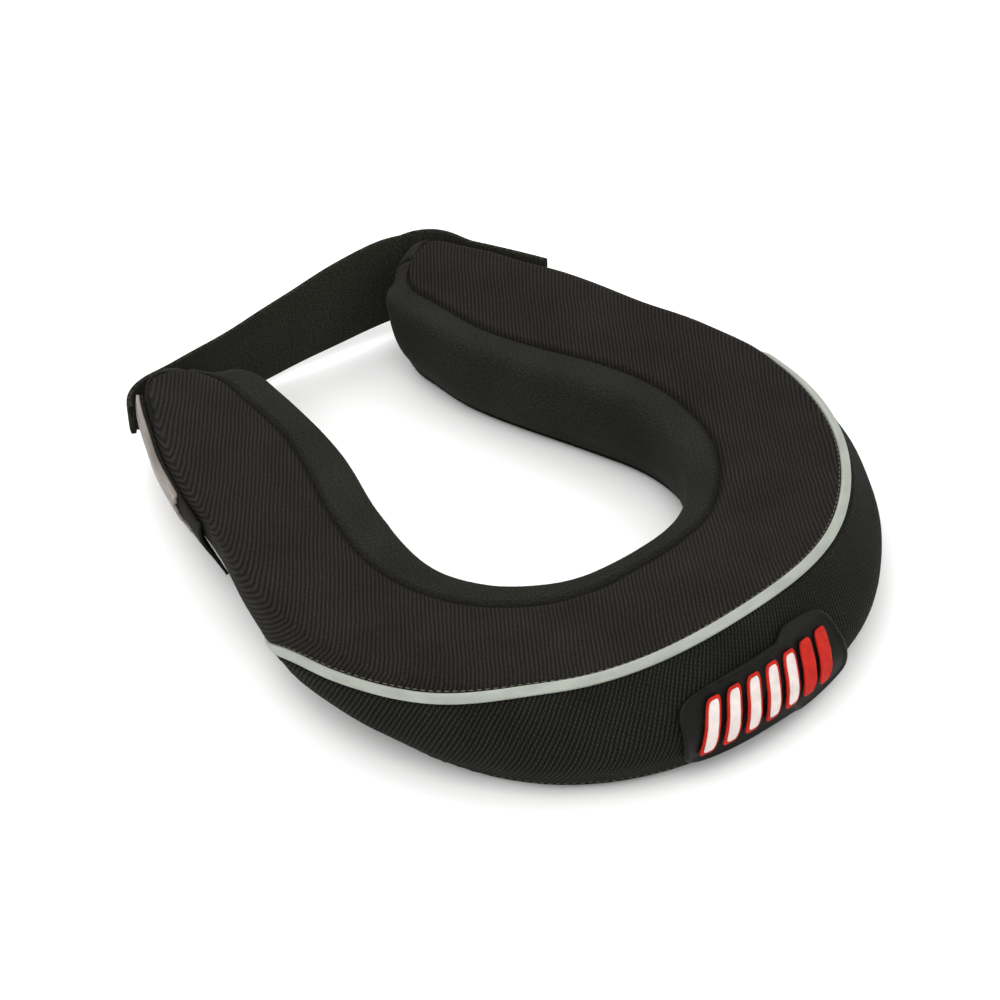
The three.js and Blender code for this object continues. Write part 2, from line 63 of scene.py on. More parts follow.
SECTION_COLUMNS = tuple("at neck seam seam_top crease crease_top side side_top foot slimness".split())
SECTIONS = np.array(
    [
        [0.0, 0.94, 0.66, 0.95, 0.47, 1.09, 1.0, 0.45, 0.8, 0.0],
        [0.2, 0.93, 0.59, 0.87, 0.55, 0.96, 0.96, 0.43, 0.76, 0.0],
        [0.4, 0.98, 0.52, 0.86, 0.62, 0.92, 0.86, 0.5, 0.44, 0.105],
        [0.6, 1.11, 0.57, 0.91, 0.52, 0.98, 0.56, 0.64, 0.18, 0.08],
        [0.8, 1.12, 0.66, 0.89, 0.49, 1.02, 0.54, 0.74, 0.09, 0.01],
        [1.0, 0.76, 0.28, 0.91, 0.4, 1.06, 0.47, 0.76, -0.04, 0.0],
    ]
)
PIPING_COLUMNS = ("at", "drop", "slack")
PIPING_ROUTE = np.array(
    [
        [0.0, 0.0, 0.0],
        [0.22, 0.0, 0.5],
        [0.32, 0.3, 5.0],
        [0.42, 1.0, 7.0],
        [0.48, 3.5, 8.5],
        [0.53, 18.0, 6.0],
        [0.58, 40.0, 0.0],
    ]
)

CORNERS = ("foot", "side", "crease", "crown", "seam", "neck_edge", "neck_wall", "neck_foot")
CORNER_RADII = (9.0, 50.0, 7.0, 120.0, 80.0, 10.0, 50.0, 8.0)


def unit(vectors: Array) -> Array:
    """Vectors scaled to length one, with the shortest left as they are."""
    return vectors / np.maximum(np.linalg.norm(vectors, axis=-1, keepdims=True), 1e-9)


def smooth(value: Array, start: float, end: float) -> Array:
    """Smooth step from 0 at start to 1 at end: 3t² - 2t³ of the share t of the way."""
    t = np.clip((value - start) / (end - start), 0, 1)
    return t * t * (3 - 2 * t)


def run_along(line: Array) -> Array:
    """Length from a line's first point to each of its points."""
    return np.concatenate([[0], np.cumsum(np.linalg.norm(np.diff(line, axis=0), axis=-1))])


def show(thing: bpy.types.Object) -> None:
    """Puts an object into the scene."""
    bpy.context.scene.collection.objects.link(thing)


def column_at(table: Array, columns: tuple[str, ...], name: str, share: Array) -> Array:
    """A table's column at shares, by a Hermite curve through its rows, mirrored at share 0.

    Args:
        table: rows, with the share in the first column.
        columns: the names of the columns.
        name: the column to read.
        share: shares of half the middle line.
    Returns:
        The column's value at each share.
    """
    at, value = table[:, 0], table[:, columns.index(name)]
    wide_at = np.concatenate([[-at[1]], at, [2 * at[-1] - at[-2]]])
    wide = np.concatenate([[value[1]], value, [value[-1]]])
    slope = (wide[2:] - wide[:-2]) / (wide_at[2:] - wide_at[:-2])
    k = np.clip(np.searchsorted(at, np.abs(share), side="right") - 1, 0, len(at) - 2)
    span = at[k + 1] - at[k]
    t = np.clip((np.abs(share) - at[k]) / span, 0, 1)
    from_start = (2 * t**3 - 3 * t**2 + 1) * value[k] + (t**3 - 2 * t**2 + t) * slope[k] * span
    return from_start + (3 * t**2 - 2 * t**3) * value[k + 1] + (t**3 - t**2) * slope[k + 1] * span


@dataclass
class PadForm:
    """Outer form of the pad, which every other piece lies on."""

    nape_radius: float = 103.0
    nape_turn: float = math.radians(103)
    arm_length: float = 132.0
    arm_turn: float = math.radians(12)
    inner_reach: float = 40.0
    outer_reach: float = 49.0
    height: float = 46.0
    crown: float = 2.0
    neck_edge: float = 2.0
    neck_edge_rise: float = 0.5
    neck_foot: float = 10.0
    tip_rounding: float = 20.0
    tip_power: float = 2.6
    tip_drop: float = 0.3
    tip_drop_power: float = 5.0
    tip_level: float = 0.45
    tip_setback: float = 14.0
    tip_setback_length: float = 60.0
    round_reach: float = 0.38
    arc_steps: int = 16
    core_inset: float = 3.0
    shift_y: float = field(init=False, default=0.0)

    def __post_init__(self) -> None:
        """Works out how far the frame's origin lies from the middle of the nape's arc."""
        nape = np.array([0.0])
        self.shift_y = 0.0
        lowest = -self.nape_radius - self.outline(nape, self.core_inset)[..., 0].max()
        self.shift_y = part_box("foam_core")[0].y / MM - lowest

    @property
    def nape_run(self) -> float:
        """Length of half the nape's arc."""
        return self.nape_radius * self.nape_turn

    @property
    def half_length(self) -> float:
        """Length of half the middle line."""
        return self.nape_run + self.arm_length

    def to_space(self, share: Array, reach: Array, z: Array) -> Array:
        """Points of the sections in the frame: an arc round the nape, then a slower arc along each arm.

        Near a tip the sections lean, with their feet set back.

        Args:
            share: one share for each row.
            reach: outward reach from the middle line, rows by columns.
            z: height, rows by columns.
        Returns:
            Points, rows by columns by three.
        """
        length, radius = self.half_length, self.nape_radius
        setback = self.tip_setback * (1 - smooth(length * (1 - np.abs(share)), 0, self.tip_setback_length))
        run = (np.abs(share) * length)[:, None] - setback[:, None] * np.clip(1 - z / self.height, 0, 1)
        turned = np.minimum(run, self.nape_run) / radius
        arm_radius = self.arm_length / self.arm_turn
        heading = turned + np.maximum(0, run - self.nape_run) / arm_radius
        x = (radius - arm_radius) * np.sin(turned) + (arm_radius + reach) * np.sin(heading)
        y = (radius - arm_radius) * np.cos(turned) + (arm_radius + reach) * np.cos(heading)
        side = np.where(share < 0, -1.0, 1.0)[:, None]
        return np.stack([side * x, self.shift_y - y, z + 0 * x], axis=-1)

    def past_straight(self, share: Array, rim: float) -> Array:
        """Share of the way through an arm's rounded end, for an arm shortened by a rim."""
        to_tip = self.half_length * (1 - np.abs(share)) - rim
        return np.clip(1 - to_tip / (self.tip_rounding - rim), 0, 1)

    def narrowing(self, share: Array, rim: float = 0.0) -> Array:
        """Width left where an arm's end is rounded off, as a superellipse, for an arm shortened by a rim."""
        return (1 - self.past_straight(share, rim) ** self.tip_power) ** (1 / self.tip_power)

    def corners(self, share: Array) -> Array:
        """Corners of the sections before rounding, in the order of CORNERS, as rows by eight by two.

        Args:
            share: one share for each row.
        Returns:
            The corners, by reach and height.
        """
        at = {name: column_at(SECTIONS, SECTION_COLUMNS, name, share) for name in SECTION_COLUMNS[1:]}
        neck, seam = -self.inner_reach * at["neck"], -self.inner_reach * at["seam"]
        seam_top, crease_top = self.height * at["seam_top"], self.height * at["crease_top"]
        slimness = np.where(share < 0, at["slimness"], 0.0)
        crease, zero = self.outer_reach * (at["crease"] - slimness / 2), 0 * share
        points = (
            (self.outer_reach * (at["foot"] - slimness), zero),
            (self.outer_reach * (at["side"] - slimness), self.height * at["side_top"]),
            (crease, crease_top),
            ((seam + crease) / 2, (seam_top + crease_top) / 2 + self.crown),
            (seam, seam_top),
            (neck + self.neck_edge, seam_top + self.neck_edge_rise),
            (neck, seam_top / 2),
            (neck + self.neck_foot, zero),
        )
        return np.stack([np.stack(point, axis=-1) for point in points], axis=1)

    def outline(self, share: Array, inset: float = 0.0) -> Array:
        """Closed outlines of the sections: each corner is rounded by an arc, then the tips are narrowed.

        Args:
            share: one share for each section.
            inset: how far the outline is drawn in.
        Returns:
            Outline points from the foot round to the neck wall's foot, sections by points by two.
        """
        corner = self.corners(share)
        to_before, to_after = np.roll(corner, 1, axis=1) - corner, np.roll(corner, -1, axis=1) - corner
        shortest = np.minimum(np.linalg.norm(to_before, axis=-1), np.linalg.norm(to_after, axis=-1))
        to_before, to_after = unit(to_before), unit(to_after)
        half = np.arccos(np.clip((to_before * to_after).sum(-1), -1, 1)) / 2
        tangent = np.minimum(np.array(CORNER_RADII) / np.tan(half), self.round_reach * shortest)
        centre = corner + unit(to_before + to_after) * (tangent / np.cos(half))[..., None]
        start = corner + to_before * tangent[..., None] - centre
        end = corner + to_after * tangent[..., None] - centre
        cross = start[..., 0] * end[..., 1] - start[..., 1] * end[..., 0]
        turn = np.arctan2(cross, (start * end).sum(-1))[..., None] * np.linspace(0, 1, self.arc_steps + 1)
        x = start[..., :1] * np.cos(turn) - start[..., 1:] * np.sin(turn) + centre[..., :1]
        y = start[..., :1] * np.sin(turn) + start[..., 1:] * np.cos(turn) + centre[..., 1:]
        points = np.stack([x, y], axis=-1).reshape(len(share), -1, 2)
        along = unit(np.roll(points, -1, axis=1) - np.roll(points, 1, axis=1))
        drawn_x = points[..., 0] - along[..., 1] * inset
        drawn_y = np.maximum(points[..., 1] + along[..., 0] * inset, inset)
        points = np.stack([drawn_x, drawn_y], axis=-1)
        side, crease, neck_wall = corner[:, 1], corner[:, 2], corner[:, 6]
        middle = np.stack([(side[:, 0] + neck_wall[:, 0]) / 2, self.tip_level * crease[:, 1]], axis=-1)
        lower = 1 - self.tip_drop * self.past_straight(share, inset) ** self.tip_drop_power
        scale = np.stack([self.narrowing(share, inset), lower], axis=-1)
        return middle[:, None] + (points - middle[:, None]) * scale[:, None]

    def lengths(self, share: Array) -> dict[str, Array]:
        """Length round the outline of each named corner's middle, and of the whole outline.

        Args:
            share: one share for each row.
        Returns:
            One length for each row, by the name of the corner, and by whole.
        """
        _, cumulative = self.measured(share)
        step = self.arc_steps + 1
        marks = {name: cumulative[:, 1 + k * step + self.arc_steps // 2] for k, name in enumerate(CORNERS)}
        return marks | {"whole": cumulative[:, -1]}

    def measured(self, share: Array) -> tuple[Array, Array]:
        """Outlines that start and end in the middle of the underside, and the length along each.

        Args:
            share: one share for each row.
        Returns:
            The points, rows by points by two, and the length from the start to each.
        """
        points = self.outline(share)
        underside = (points[:, :1] + points[:, -1:]) / 2
        closed = np.concatenate([underside, points, underside], axis=1)
        steps = np.linalg.norm(np.diff(closed, axis=1), axis=-1)
        return closed, np.concatenate([np.zeros((len(share), 1)), np.cumsum(steps, axis=1)], axis=1)

    def section_points(self, share: Array, length: Array) -> Array:
        """Points of the sections at lengths round the outlines, by straight lines between outline points.

        Args:
            share: one share for each row.
            length: lengths round the outline, rows by columns.
        Returns:
            Reach and height, rows by columns by two.
        """
        closed, cumulative = self.measured(share)
        whole = cumulative[:, -1:]
        length = np.mod(length, np.maximum(whole, 1e-6))
        k = (cumulative[:, None, :] <= length[:, :, None]).sum(-1) - 1
        k = np.clip(k, 0, closed.shape[1] - 2)
        low, high = np.take_along_axis(cumulative, k, 1), np.take_along_axis(cumulative, k + 1, 1)
        t = ((length - low) / np.maximum(high - low, 1e-9))[..., None]
        first = np.take_along_axis(closed, k[..., None], 1)
        second = np.take_along_axis(closed, k[..., None] + 1, 1)
        return first + (second - first) * t

    def surface(
        self, share: Array, length: Array, lift: Array | float = 0.0, slide_over: float = 1.5
    ) -> Array:
        """Points on or off the pad: the section's point moved along its outward normal by the lift.

        Args:
            share: one share for each row.
            length: lengths round the outline, rows by columns.
            lift: how far off the surface, one value or rows by columns.
            slide_over: how far to both sides the normal is taken over.
        Returns:
            Points in the frame, rows by columns by three.
        """
        at = self.section_points(share, length)
        before = self.section_points(share, length - slide_over)
        way = unit(self.section_points(share, length + slide_over) - before)
        at = at + np.stack([way[..., 1], -way[..., 0]], axis=-1) * np.asarray(lift)[..., None]
        return self.to_space(share, at[..., 0], at[..., 1])

    def off_wall(self, share: Array, drop: Array, lift: Array | float) -> Array:
        """Points off the outer wall, a distance below the crease."""
        crease = self.lengths(share)["crease"][:, None]
        return self.surface(share, crease - drop, lift, 4.0)

    def nape_share(self, distance: Array) -> Array:
        """Share of half the middle line for a distance along the outer wall of the nape."""
        return distance / (self.nape_radius + self.outer_reach) * self.nape_radius / self.half_length

    def piping_length(self, share: Array) -> Array:
        """Length round the outline of the piping's middle, further down on the -X side by its slack."""
        drop, slack = (column_at(PIPING_ROUTE, PIPING_COLUMNS, name, share) for name in ("drop", "slack"))
        return self.lengths(share)["crease"] - drop - np.where(share < 0, slack, 0.0)


@dataclass(frozen=True)
class Unevenness:
    """Slow swelling of stuffed fabric: a sum of sine waves with seeded directions."""

    seed: int
    wavelength: float
    depth: float
    count: int = 9

    def at(self, points: Array) -> Array:
        """Height of the swelling at points, in millimetres.

        Args:
            points: points in the frame, in millimetres.
        Returns:
            One height for each point.
        """
        rng = np.random.default_rng(self.seed)
        ways = unit(rng.normal(size=(self.count, 3))) * (2 * math.pi / self.wavelength)
        ways *= rng.uniform(0.6, 1.5, size=(self.count, 1))
        phase = rng.uniform(0, 2 * math.pi, size=self.count)
        return self.depth * np.sin(points @ ways.T + phase).mean(-1) * math.sqrt(self.count)


@dataclass
class Sheet:
    """A grid of points, its unfolded coordinates and its distance to the nearest seam, in millimetres."""

    points: Array
    flat: Array
    seam: Array


def seamless(points: Array, flat: Array) -> Sheet:
    """A sheet that lies far from any seam."""
    return Sheet(points, flat, np.full(points.shape[:2], FAR_FROM_SEAMS))


def weld(mesh: bpy.types.Mesh) -> None:
    """Joins the points of each pole into one, so that its faces come to a true point.

    Args:
        mesh: the mesh, changed in place.
    """
    joined = bmesh.new()
    joined.from_mesh(mesh)
    bmesh.ops.remove_doubles(joined, verts=joined.verts[:], dist=1e-4 * MM)
    joined.to_mesh(mesh)
    joined.free()


def add_mesh(name: str, sheets: list[Sheet], closed: bool = False) -> bpy.types.Object:
    """Makes one object of grids, with the UV map Weave in millimetres and the point attribute seam.

    Args:
        name: the object's name.
        sheets: the grids, each rows by columns.
        closed: whether the columns run round to their start, and the first and last rows are poles.
    Returns:
        The new object, at the origin, in metres.
    """
    faces, offset = [], 0
    for sheet in sheets:
        rows, columns = sheet.points.shape[:2]
        i, j = np.meshgrid(np.arange(rows - 1), np.arange(columns - (not closed)), indexing="ij")
        after = (j + 1) % columns
        here, below = i * columns, (i + 1) * columns
        quads = np.stack([here + j, below + j, below + after, here + after])
        faces.append(quads.reshape(4, -1).T + offset)
        offset += rows * columns
    points = np.concatenate([sheet.points.reshape(-1, 3) for sheet in sheets]) * MM
    flat = np.concatenate([sheet.flat.reshape(-1, 2) for sheet in sheets])
    seam = np.concatenate([sheet.seam.reshape(-1) for sheet in sheets])
    mesh = bpy.data.meshes.new(name)
    mesh.from_pydata(points.tolist(), [], np.concatenate(faces).tolist())
    corner = np.empty(len(mesh.loops), dtype=np.int32)
    mesh.loops.foreach_get("vertex_index", corner)
    mesh.uv_layers.new(name="Weave").data.foreach_set("uv", flat[corner].astype(np.float32).ravel())
    to_seam = mesh.attributes.new("seam", "FLOAT", "POINT")
    to_seam.data.foreach_set("value", seam.astype(np.float32))
    mesh.polygons.foreach_set("use_smooth", np.ones(len(mesh.polygons), dtype=bool))
    mesh.validate()
    if closed:
        weld(mesh)
    piece = bpy.data.objects.new(name, mesh)
    show(piece)
    return piece


def finish_piece(
    piece: bpy.types.Object, material: bpy.types.Material, replaced: tuple[str, ...] = ()
) -> bpy.types.Object:
    """Gives a piece its material and its body, and hides the CAD nodes that it stands for.

    Args:
        piece: the object.
        material: its finish.
        replaced: the CAD nodes that it stands for.
    Returns:
        The same object.
    """
    piece.data.materials.append(material)
    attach(piece, "root")
    if replaced:
        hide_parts(*replaced)
    log.info("%s: %d faces", piece.name, len(piece.data.polygons))
    return piece


def give_thickness(piece: bpy.types.Object, thickness: float) -> None:
    """Gives a sheet its wall, inwards from its face.

    Args:
        piece: the sheet.
        thickness: the wall, in millimetres.
    """
    wall = piece.modifiers.new("wall", "SOLIDIFY")
    wall.thickness = thickness * MM
    wall.offset = -1
    wall.use_rim = True


def linear(colour: str) -> tuple[float, float, float, float]:
    """An sRGB hex colour as linear red, green, blue and alpha."""
    parts = [int(colour[k : k + 2], 16) / 255 for k in (1, 3, 5)]
    return (*[p / 12.92 if p <= 0.04045 else ((p + 0.055) / 1.055) ** 2.4 for p in parts], 1.0)


class Recipe:
    """A material under construction."""

    def __init__(self, name: str) -> None:
        """Starts an empty node tree with an output.

        Args:
            name: the material's name.
        """
        self.material = bpy.data.materials.new(name)
        self.material.use_nodes = True
        self.tree = self.material.node_tree
        self.tree.nodes.clear()
        self.output = self.tree.nodes.new("ShaderNodeOutputMaterial")

    def add(self, kind: str, inputs: dict | None = None, **settings: object) -> bpy.types.Node:
        """Adds a node.

        Args:
            kind: the node's type without its ShaderNode prefix.
            inputs: input name or number to a value, or to a socket that is linked.
            settings: the node's own properties.
        Returns:
            The node.
        """
        node = self.tree.nodes.new("ShaderNode" + kind)
        for key, value in settings.items():
            setattr(node, key, value)
        for key, value in (inputs or {}).items():
            if isinstance(value, bpy.types.NodeSocket):
                self.tree.links.new(value, node.inputs[key])
            else:
                node.inputs[key].default_value = value
        return node

    def spread(self, value: bpy.types.NodeSocket, low: float, high: float) -> bpy.types.NodeSocket:
        """Noise, which stays about 0.3 to 0.7, spread from a low factor to a high one."""
        limits = {"From Min": 0.3, "From Max": 0.7, "To Min": low, "To Max": high}
        return self.add("MapRange", {"Value": value} | limits).outputs[0]

    def seam_shade(self, reach: float) -> bpy.types.NodeSocket:
        """Factor that falls to a half close to a seam, where the cloth dips into shade.

        Args:
            reach: how far from the seam the shade ends, in millimetres.
        Returns:
            The factor.
        """
        seam = self.add("Attribute", attribute_name="seam").outputs["Fac"]
        limits = {"From Min": 0.2, "From Max": reach, "To Min": 0.5}
        return self.add("MapRange", {"Value": seam} | limits).outputs[0]

    def done(self, colour: bpy.types.NodeSocket, inputs: dict) -> bpy.types.Material:
        """Links the surface and gives the finished material.

        Args:
            colour: the base colour.
            inputs: the other inputs of the surface, by name.
        Returns:
            The material.
        """
        shader = self.add("BsdfPrincipled", {"Base Color": colour} | inputs)
        self.tree.links.new(shader.outputs["BSDF"], self.output.inputs["Surface"])
        return self.material


class Grain(Enum):
    """How a knitted mesh runs: straight ribs, or a diagonal net."""

    RIBS = "ribs"
    NET = "net"


@dataclass(frozen=True)
class KnittedMesh:
    """Warp-knitted polyester mesh: rows of small loops that read as fine parallel ribs with dark gaps."""

    name: str
    grain: Grain
    groove: str
    ridge: str
    rib_pitch: float
    loop_pitch: float
    relief: float
    angle: float
    roughness: float = 0.85
    sheen: float = 0.01

    def build(self) -> bpy.types.Material:
        """Ribs by a cosine over the unfolded panel, loops by a sine along them, colour and bump from both,
        with painted shade near the seams.

        Returns:
            The material.
        """
        recipe = Recipe(self.name)
        uv = recipe.add("UVMap", uv_map="Weave").outputs["UV"]
        turn = (0, 0, math.radians(self.angle))
        turned = recipe.add("Mapping", {"Vector": uv, "Rotation": turn}).outputs["Vector"]
        drift = recipe.add("TexNoise", {"Vector": uv, "Scale": 0.05, "Detail": 2.0}).outputs["Color"]
        moved = recipe.add("VectorMath", {0: drift, 1: (1.6, 1.6, 0)}, operation="MULTIPLY").outputs["Vector"]
        bent = recipe.add("VectorMath", {0: turned, 1: moved}, operation="ADD").outputs["Vector"]
        axes = recipe.add("SeparateXYZ", {"Vector": bent}).outputs
        rib_rate, loop_rate = 2 * math.pi / self.rib_pitch, 2 * math.pi / self.loop_pitch
        rib = recipe.add("Math", {0: axes["X"], 1: rib_rate}, operation="MULTIPLY").outputs[0]
        loop = recipe.add("Math", {0: axes["Y"], 1: loop_rate}, operation="MULTIPLY").outputs[0]
        gap = 0.72
        if self.grain is Grain.NET:
            loop = recipe.add("Math", {0: rib, 1: loop}, operation="ADD").outputs[0]
            gap = 0.3
        wave = recipe.add("Math", {0: rib}, operation="COSINE").outputs[0]
        beads = recipe.add("Math", {0: loop}, operation="SINE").outputs[0]
        ridge = recipe.add("MapRange", {"Value": wave, "From Min": -0.9, "From Max": 0.7}).outputs[0]
        limits = {"From Min": -1.0, "From Max": 0.4, "To Min": gap}
        bead = recipe.add("MapRange", {"Value": beads} | limits).outputs[0]
        height = recipe.add("Math", {0: ridge, 1: bead}, operation="MULTIPLY").outputs[0]
        grit = {"Scale": 0.9, "Detail": 4.0, "Roughness": 0.7}
        lint = recipe.add("TexNoise", {"Vector": uv} | grit).outputs["Fac"]
        cloud = recipe.add("TexNoise", {"Vector": uv, "Scale": 0.035, "Detail": 3.0}).outputs["Fac"]
        tones = {0: recipe.spread(lint, 0.62, 1.4), 1: recipe.spread(cloud, 0.84, 1.16)}
        both = recipe.add("Math", tones, operation="MULTIPLY").outputs[0]
        # Random tone from lint and cloud noise, times painted shade near the seams.
        level = recipe.add("Math", {0: both, 1: recipe.seam_shade(3.0)}, operation="MULTIPLY").outputs[0]
        ends = {"Factor": height, "A": linear(self.groove), "B": linear(self.ridge)}
        yarn = recipe.add("Mix", ends, data_type="RGBA").outputs["Result"]
        # The yarn colour scaled by random tone and by painted shade near the seams.
        toned_and_seam_shaded = recipe.add("VectorMath", {0: yarn, "Scale": level}, operation="SCALE").outputs["Vector"]
        depth = {"Distance": self.relief * MM, "Strength": 0.8}
        bump = recipe.add("Bump", {"Height": height} | depth).outputs["Normal"]
        fuzz = recipe.add("Bump", {"Height": lint, "Distance": 0.15 * MM, "Strength": 0.5, "Normal": bump})
        surface = {
            "Roughness": self.roughness,
            "Sheen Weight": self.sheen,
            "Sheen Roughness": 0.5,
            "Specular IOR Level": 0.05,
            "Normal": fuzz.outputs["Normal"],
        }
        return recipe.done(toned_and_seam_shaded, surface)


@dataclass(frozen=True)
class SpeckledCloth:
    """Smooth neoprene, felt or woven backing: a fine speckle of fibres over an even ground."""

    name: str
    ground: str
    fibre: str
    speckle: float
    relief: float
    roughness: float = 0.88
    sheen: float = 0.01
    stretch: tuple[float, float, float] = (1.0, 1.0, 1.0)

    def build(self) -> bpy.types.Material:
        """Fibres by fine noise on the unfolded piece, broad tone by slow noise, painted shade near the seams,
        bump from the fibres.

        Returns:
            The material.
        """
        recipe = Recipe(self.name)
        uv = recipe.add("UVMap", uv_map="Weave").outputs["UV"]
        pulled = recipe.add("Mapping", {"Vector": uv, "Scale": self.stretch}).outputs["Vector"]
        fibres = {"Scale": 1 / self.speckle, "Detail": 5.0, "Roughness": 0.75}
        fine = recipe.add("TexNoise", {"Vector": pulled} | fibres).outputs["Fac"]
        broad = recipe.add("TexNoise", {"Vector": uv, "Scale": 0.03, "Detail": 3.0}).outputs["Fac"]
        dots = recipe.add("MapRange", {"Value": fine, "From Min": 0.42, "From Max": 0.72}).outputs[0]
        # Random tone from slow noise, times painted shade near the seams.
        shades = {0: recipe.spread(broad, 0.85, 1.15), 1: recipe.seam_shade(2.5)}
        level = recipe.add("Math", shades, operation="MULTIPLY").outputs[0]
        ends = {"Factor": dots, "A": linear(self.ground), "B": linear(self.fibre)}
        cloth = recipe.add("Mix", ends, data_type="RGBA").outputs["Result"]
        # The cloth colour scaled by random tone and by painted shade near the seams.
        toned_and_seam_shaded = recipe.add("VectorMath", {0: cloth, "Scale": level}, operation="SCALE").outputs["Vector"]
        bump = recipe.add("Bump", {"Height": fine, "Distance": self.relief * MM, "Strength": 0.7})
        surface = {
            "Roughness": self.roughness,
            "Sheen Weight": self.sheen,
            "Sheen Roughness": 0.45,
            "Specular IOR Level": 0.05,
            "Normal": bump.outputs["Normal"],
        }
        return recipe.done(toned_and_seam_shaded, surface)


@dataclass(frozen=True)
class MouldedPlastic:
    """Moulded rubber, coated tape or nylon hooks: an even colour with faint mottling and fine grit."""

    name: str
    colour: str
    dark: str
    roughness: float
    grit: float
    relief: float
    streak: tuple[float, float, float] = (1.0, 1.0, 1.0)
    gloss: float = 0.3
    transmission: float = 0.0

    def build(self) -> bpy.types.Material:
        """Mottling by noise on the unfolded piece, drawn out along streaks, with grit as bump.

        Returns:
            The material.
        """
        recipe = Recipe(self.name)
        uv = recipe.add("UVMap", uv_map="Weave").outputs["UV"]
        pulled = recipe.add("Mapping", {"Vector": uv, "Scale": self.streak}).outputs["Vector"]
        mottle = recipe.add("TexNoise", {"Vector": pulled, "Scale": 0.25, "Detail": 4.0}).outputs["Fac"]
        grains = {"Scale": 1 / self.grit, "Detail": 3.0}
        grit = recipe.add("TexNoise", {"Vector": pulled} | grains).outputs["Fac"]
        share = recipe.add("MapRange", {"Value": mottle, "From Min": 0.35, "From Max": 0.65}).outputs[0]
        ends = {"Factor": share, "A": linear(self.dark), "B": linear(self.colour)}
        tint = recipe.add("Mix", ends, data_type="RGBA").outputs["Result"]
        bump = recipe.add("Bump", {"Height": grit, "Distance": self.relief * MM, "Strength": 0.6})
        surface = {
            "Roughness": self.roughness,
            "Specular IOR Level": self.gloss,
            "Transmission Weight": self.transmission,
            "Normal": bump.outputs["Normal"],
        }
        return recipe.done(tint, surface)


@dataclass(frozen=True)
class Palette:
    """Every finish on the collar, by where it is used."""

    top: KnittedMesh = KnittedMesh(
        "ribbed_polyester_mesh", Grain.RIBS, "#12110f", "#26231f", 1.55, 1.3, 0.32, angle=0.0
    )
    band: KnittedMesh = KnittedMesh(
        "diagonal_polyester_mesh", Grain.NET, "#0b0b09", "#282722", 1.7, 1.6, 0.4, angle=24.0
    )
    neck: SpeckledCloth = SpeckledCloth("neoprene", "#161613", "#31302b", 0.85, 0.12)
    base: SpeckledCloth = SpeckledCloth("woven_polyester_backing", "#151512", "#2a2924", 0.9, 0.15)
    strap: SpeckledCloth = SpeckledCloth(
        "brushed_loop_fabric", "#11110e", "#403f37", 1.0, 0.35, 0.95, stretch=(1.0, 2.2, 1.0)
    )
    piping: MouldedPlastic = MouldedPlastic(
        "reflective_tape", "#989c93", "#8b8f87", 0.5, 0.45, 0.05, streak=(0.3, 1.0, 1.0)
    )
    rubber: MouldedPlastic = MouldedPlastic(
        "black_moulded_rubber", "#141411", "#0f0f0d", 0.45, 0.5, 0.05, gloss=0.1
    )
    red: MouldedPlastic = MouldedPlastic(
        "red_moulded_rubber", "#b42217", "#a01c13", 0.5, 0.6, 0.04, gloss=0.1
    )
    white: MouldedPlastic = MouldedPlastic("white_moulded_rubber", "#d3c9c4", "#c4bab5", 0.5, 0.6, 0.04)
    hooks: MouldedPlastic = MouldedPlastic(
        "nylon_hook_tape", "#98908a", "#6a635d", 0.6, 0.8, 0.35, streak=(0.12, 1.0, 1.0), transmission=0.1
    )
    thread: MouldedPlastic = MouldedPlastic(
        "polyester_thread", "#5a5850", "#403f39", 0.7, 0.3, 0.04, gloss=0.1
    )
    dark_thread: MouldedPlastic = MouldedPlastic(
        "black_polyester_thread", "#24231f", "#191815", 0.7, 0.3, 0.04, gloss=0.1
    )


def along_half(form: PadForm, count: int, tip_count: int, start: float = 0.0) -> Array:
    """Shares from a start to the tip, evenly up to the rounding and then closer and closer, by a sine.

    Args:
        form: the pad.
        count: how many shares lie before the rounding.
        tip_count: how many lie in it.
        start: the first share.
    Returns:
        The shares, in rising order.
    """
    straight = 1 - form.tip_rounding / form.half_length
    even = np.linspace(start, straight, count, endpoint=False)
    closing = straight + (1 - straight) * np.sin(np.linspace(0, math.pi / 2, tip_count))
    return np.concatenate([even, closing])


def eased(count: int) -> Array:
    """Shares from 0 to 1, closer together at both ends, half by a cosine and half even."""
    t = np.linspace(0, 1, count)
    return 0.5 * t + 0.5 * (0.5 - 0.5 * np.cos(math.pi * t))


@dataclass(frozen=True)
class Cut:
    """A panel's shares along the pad, the lengths round it where it starts and ends, and its relief."""

    share: Array
    start: Array
    end: Array
    gathers: float = 0.0
    ridge: float = 0.0


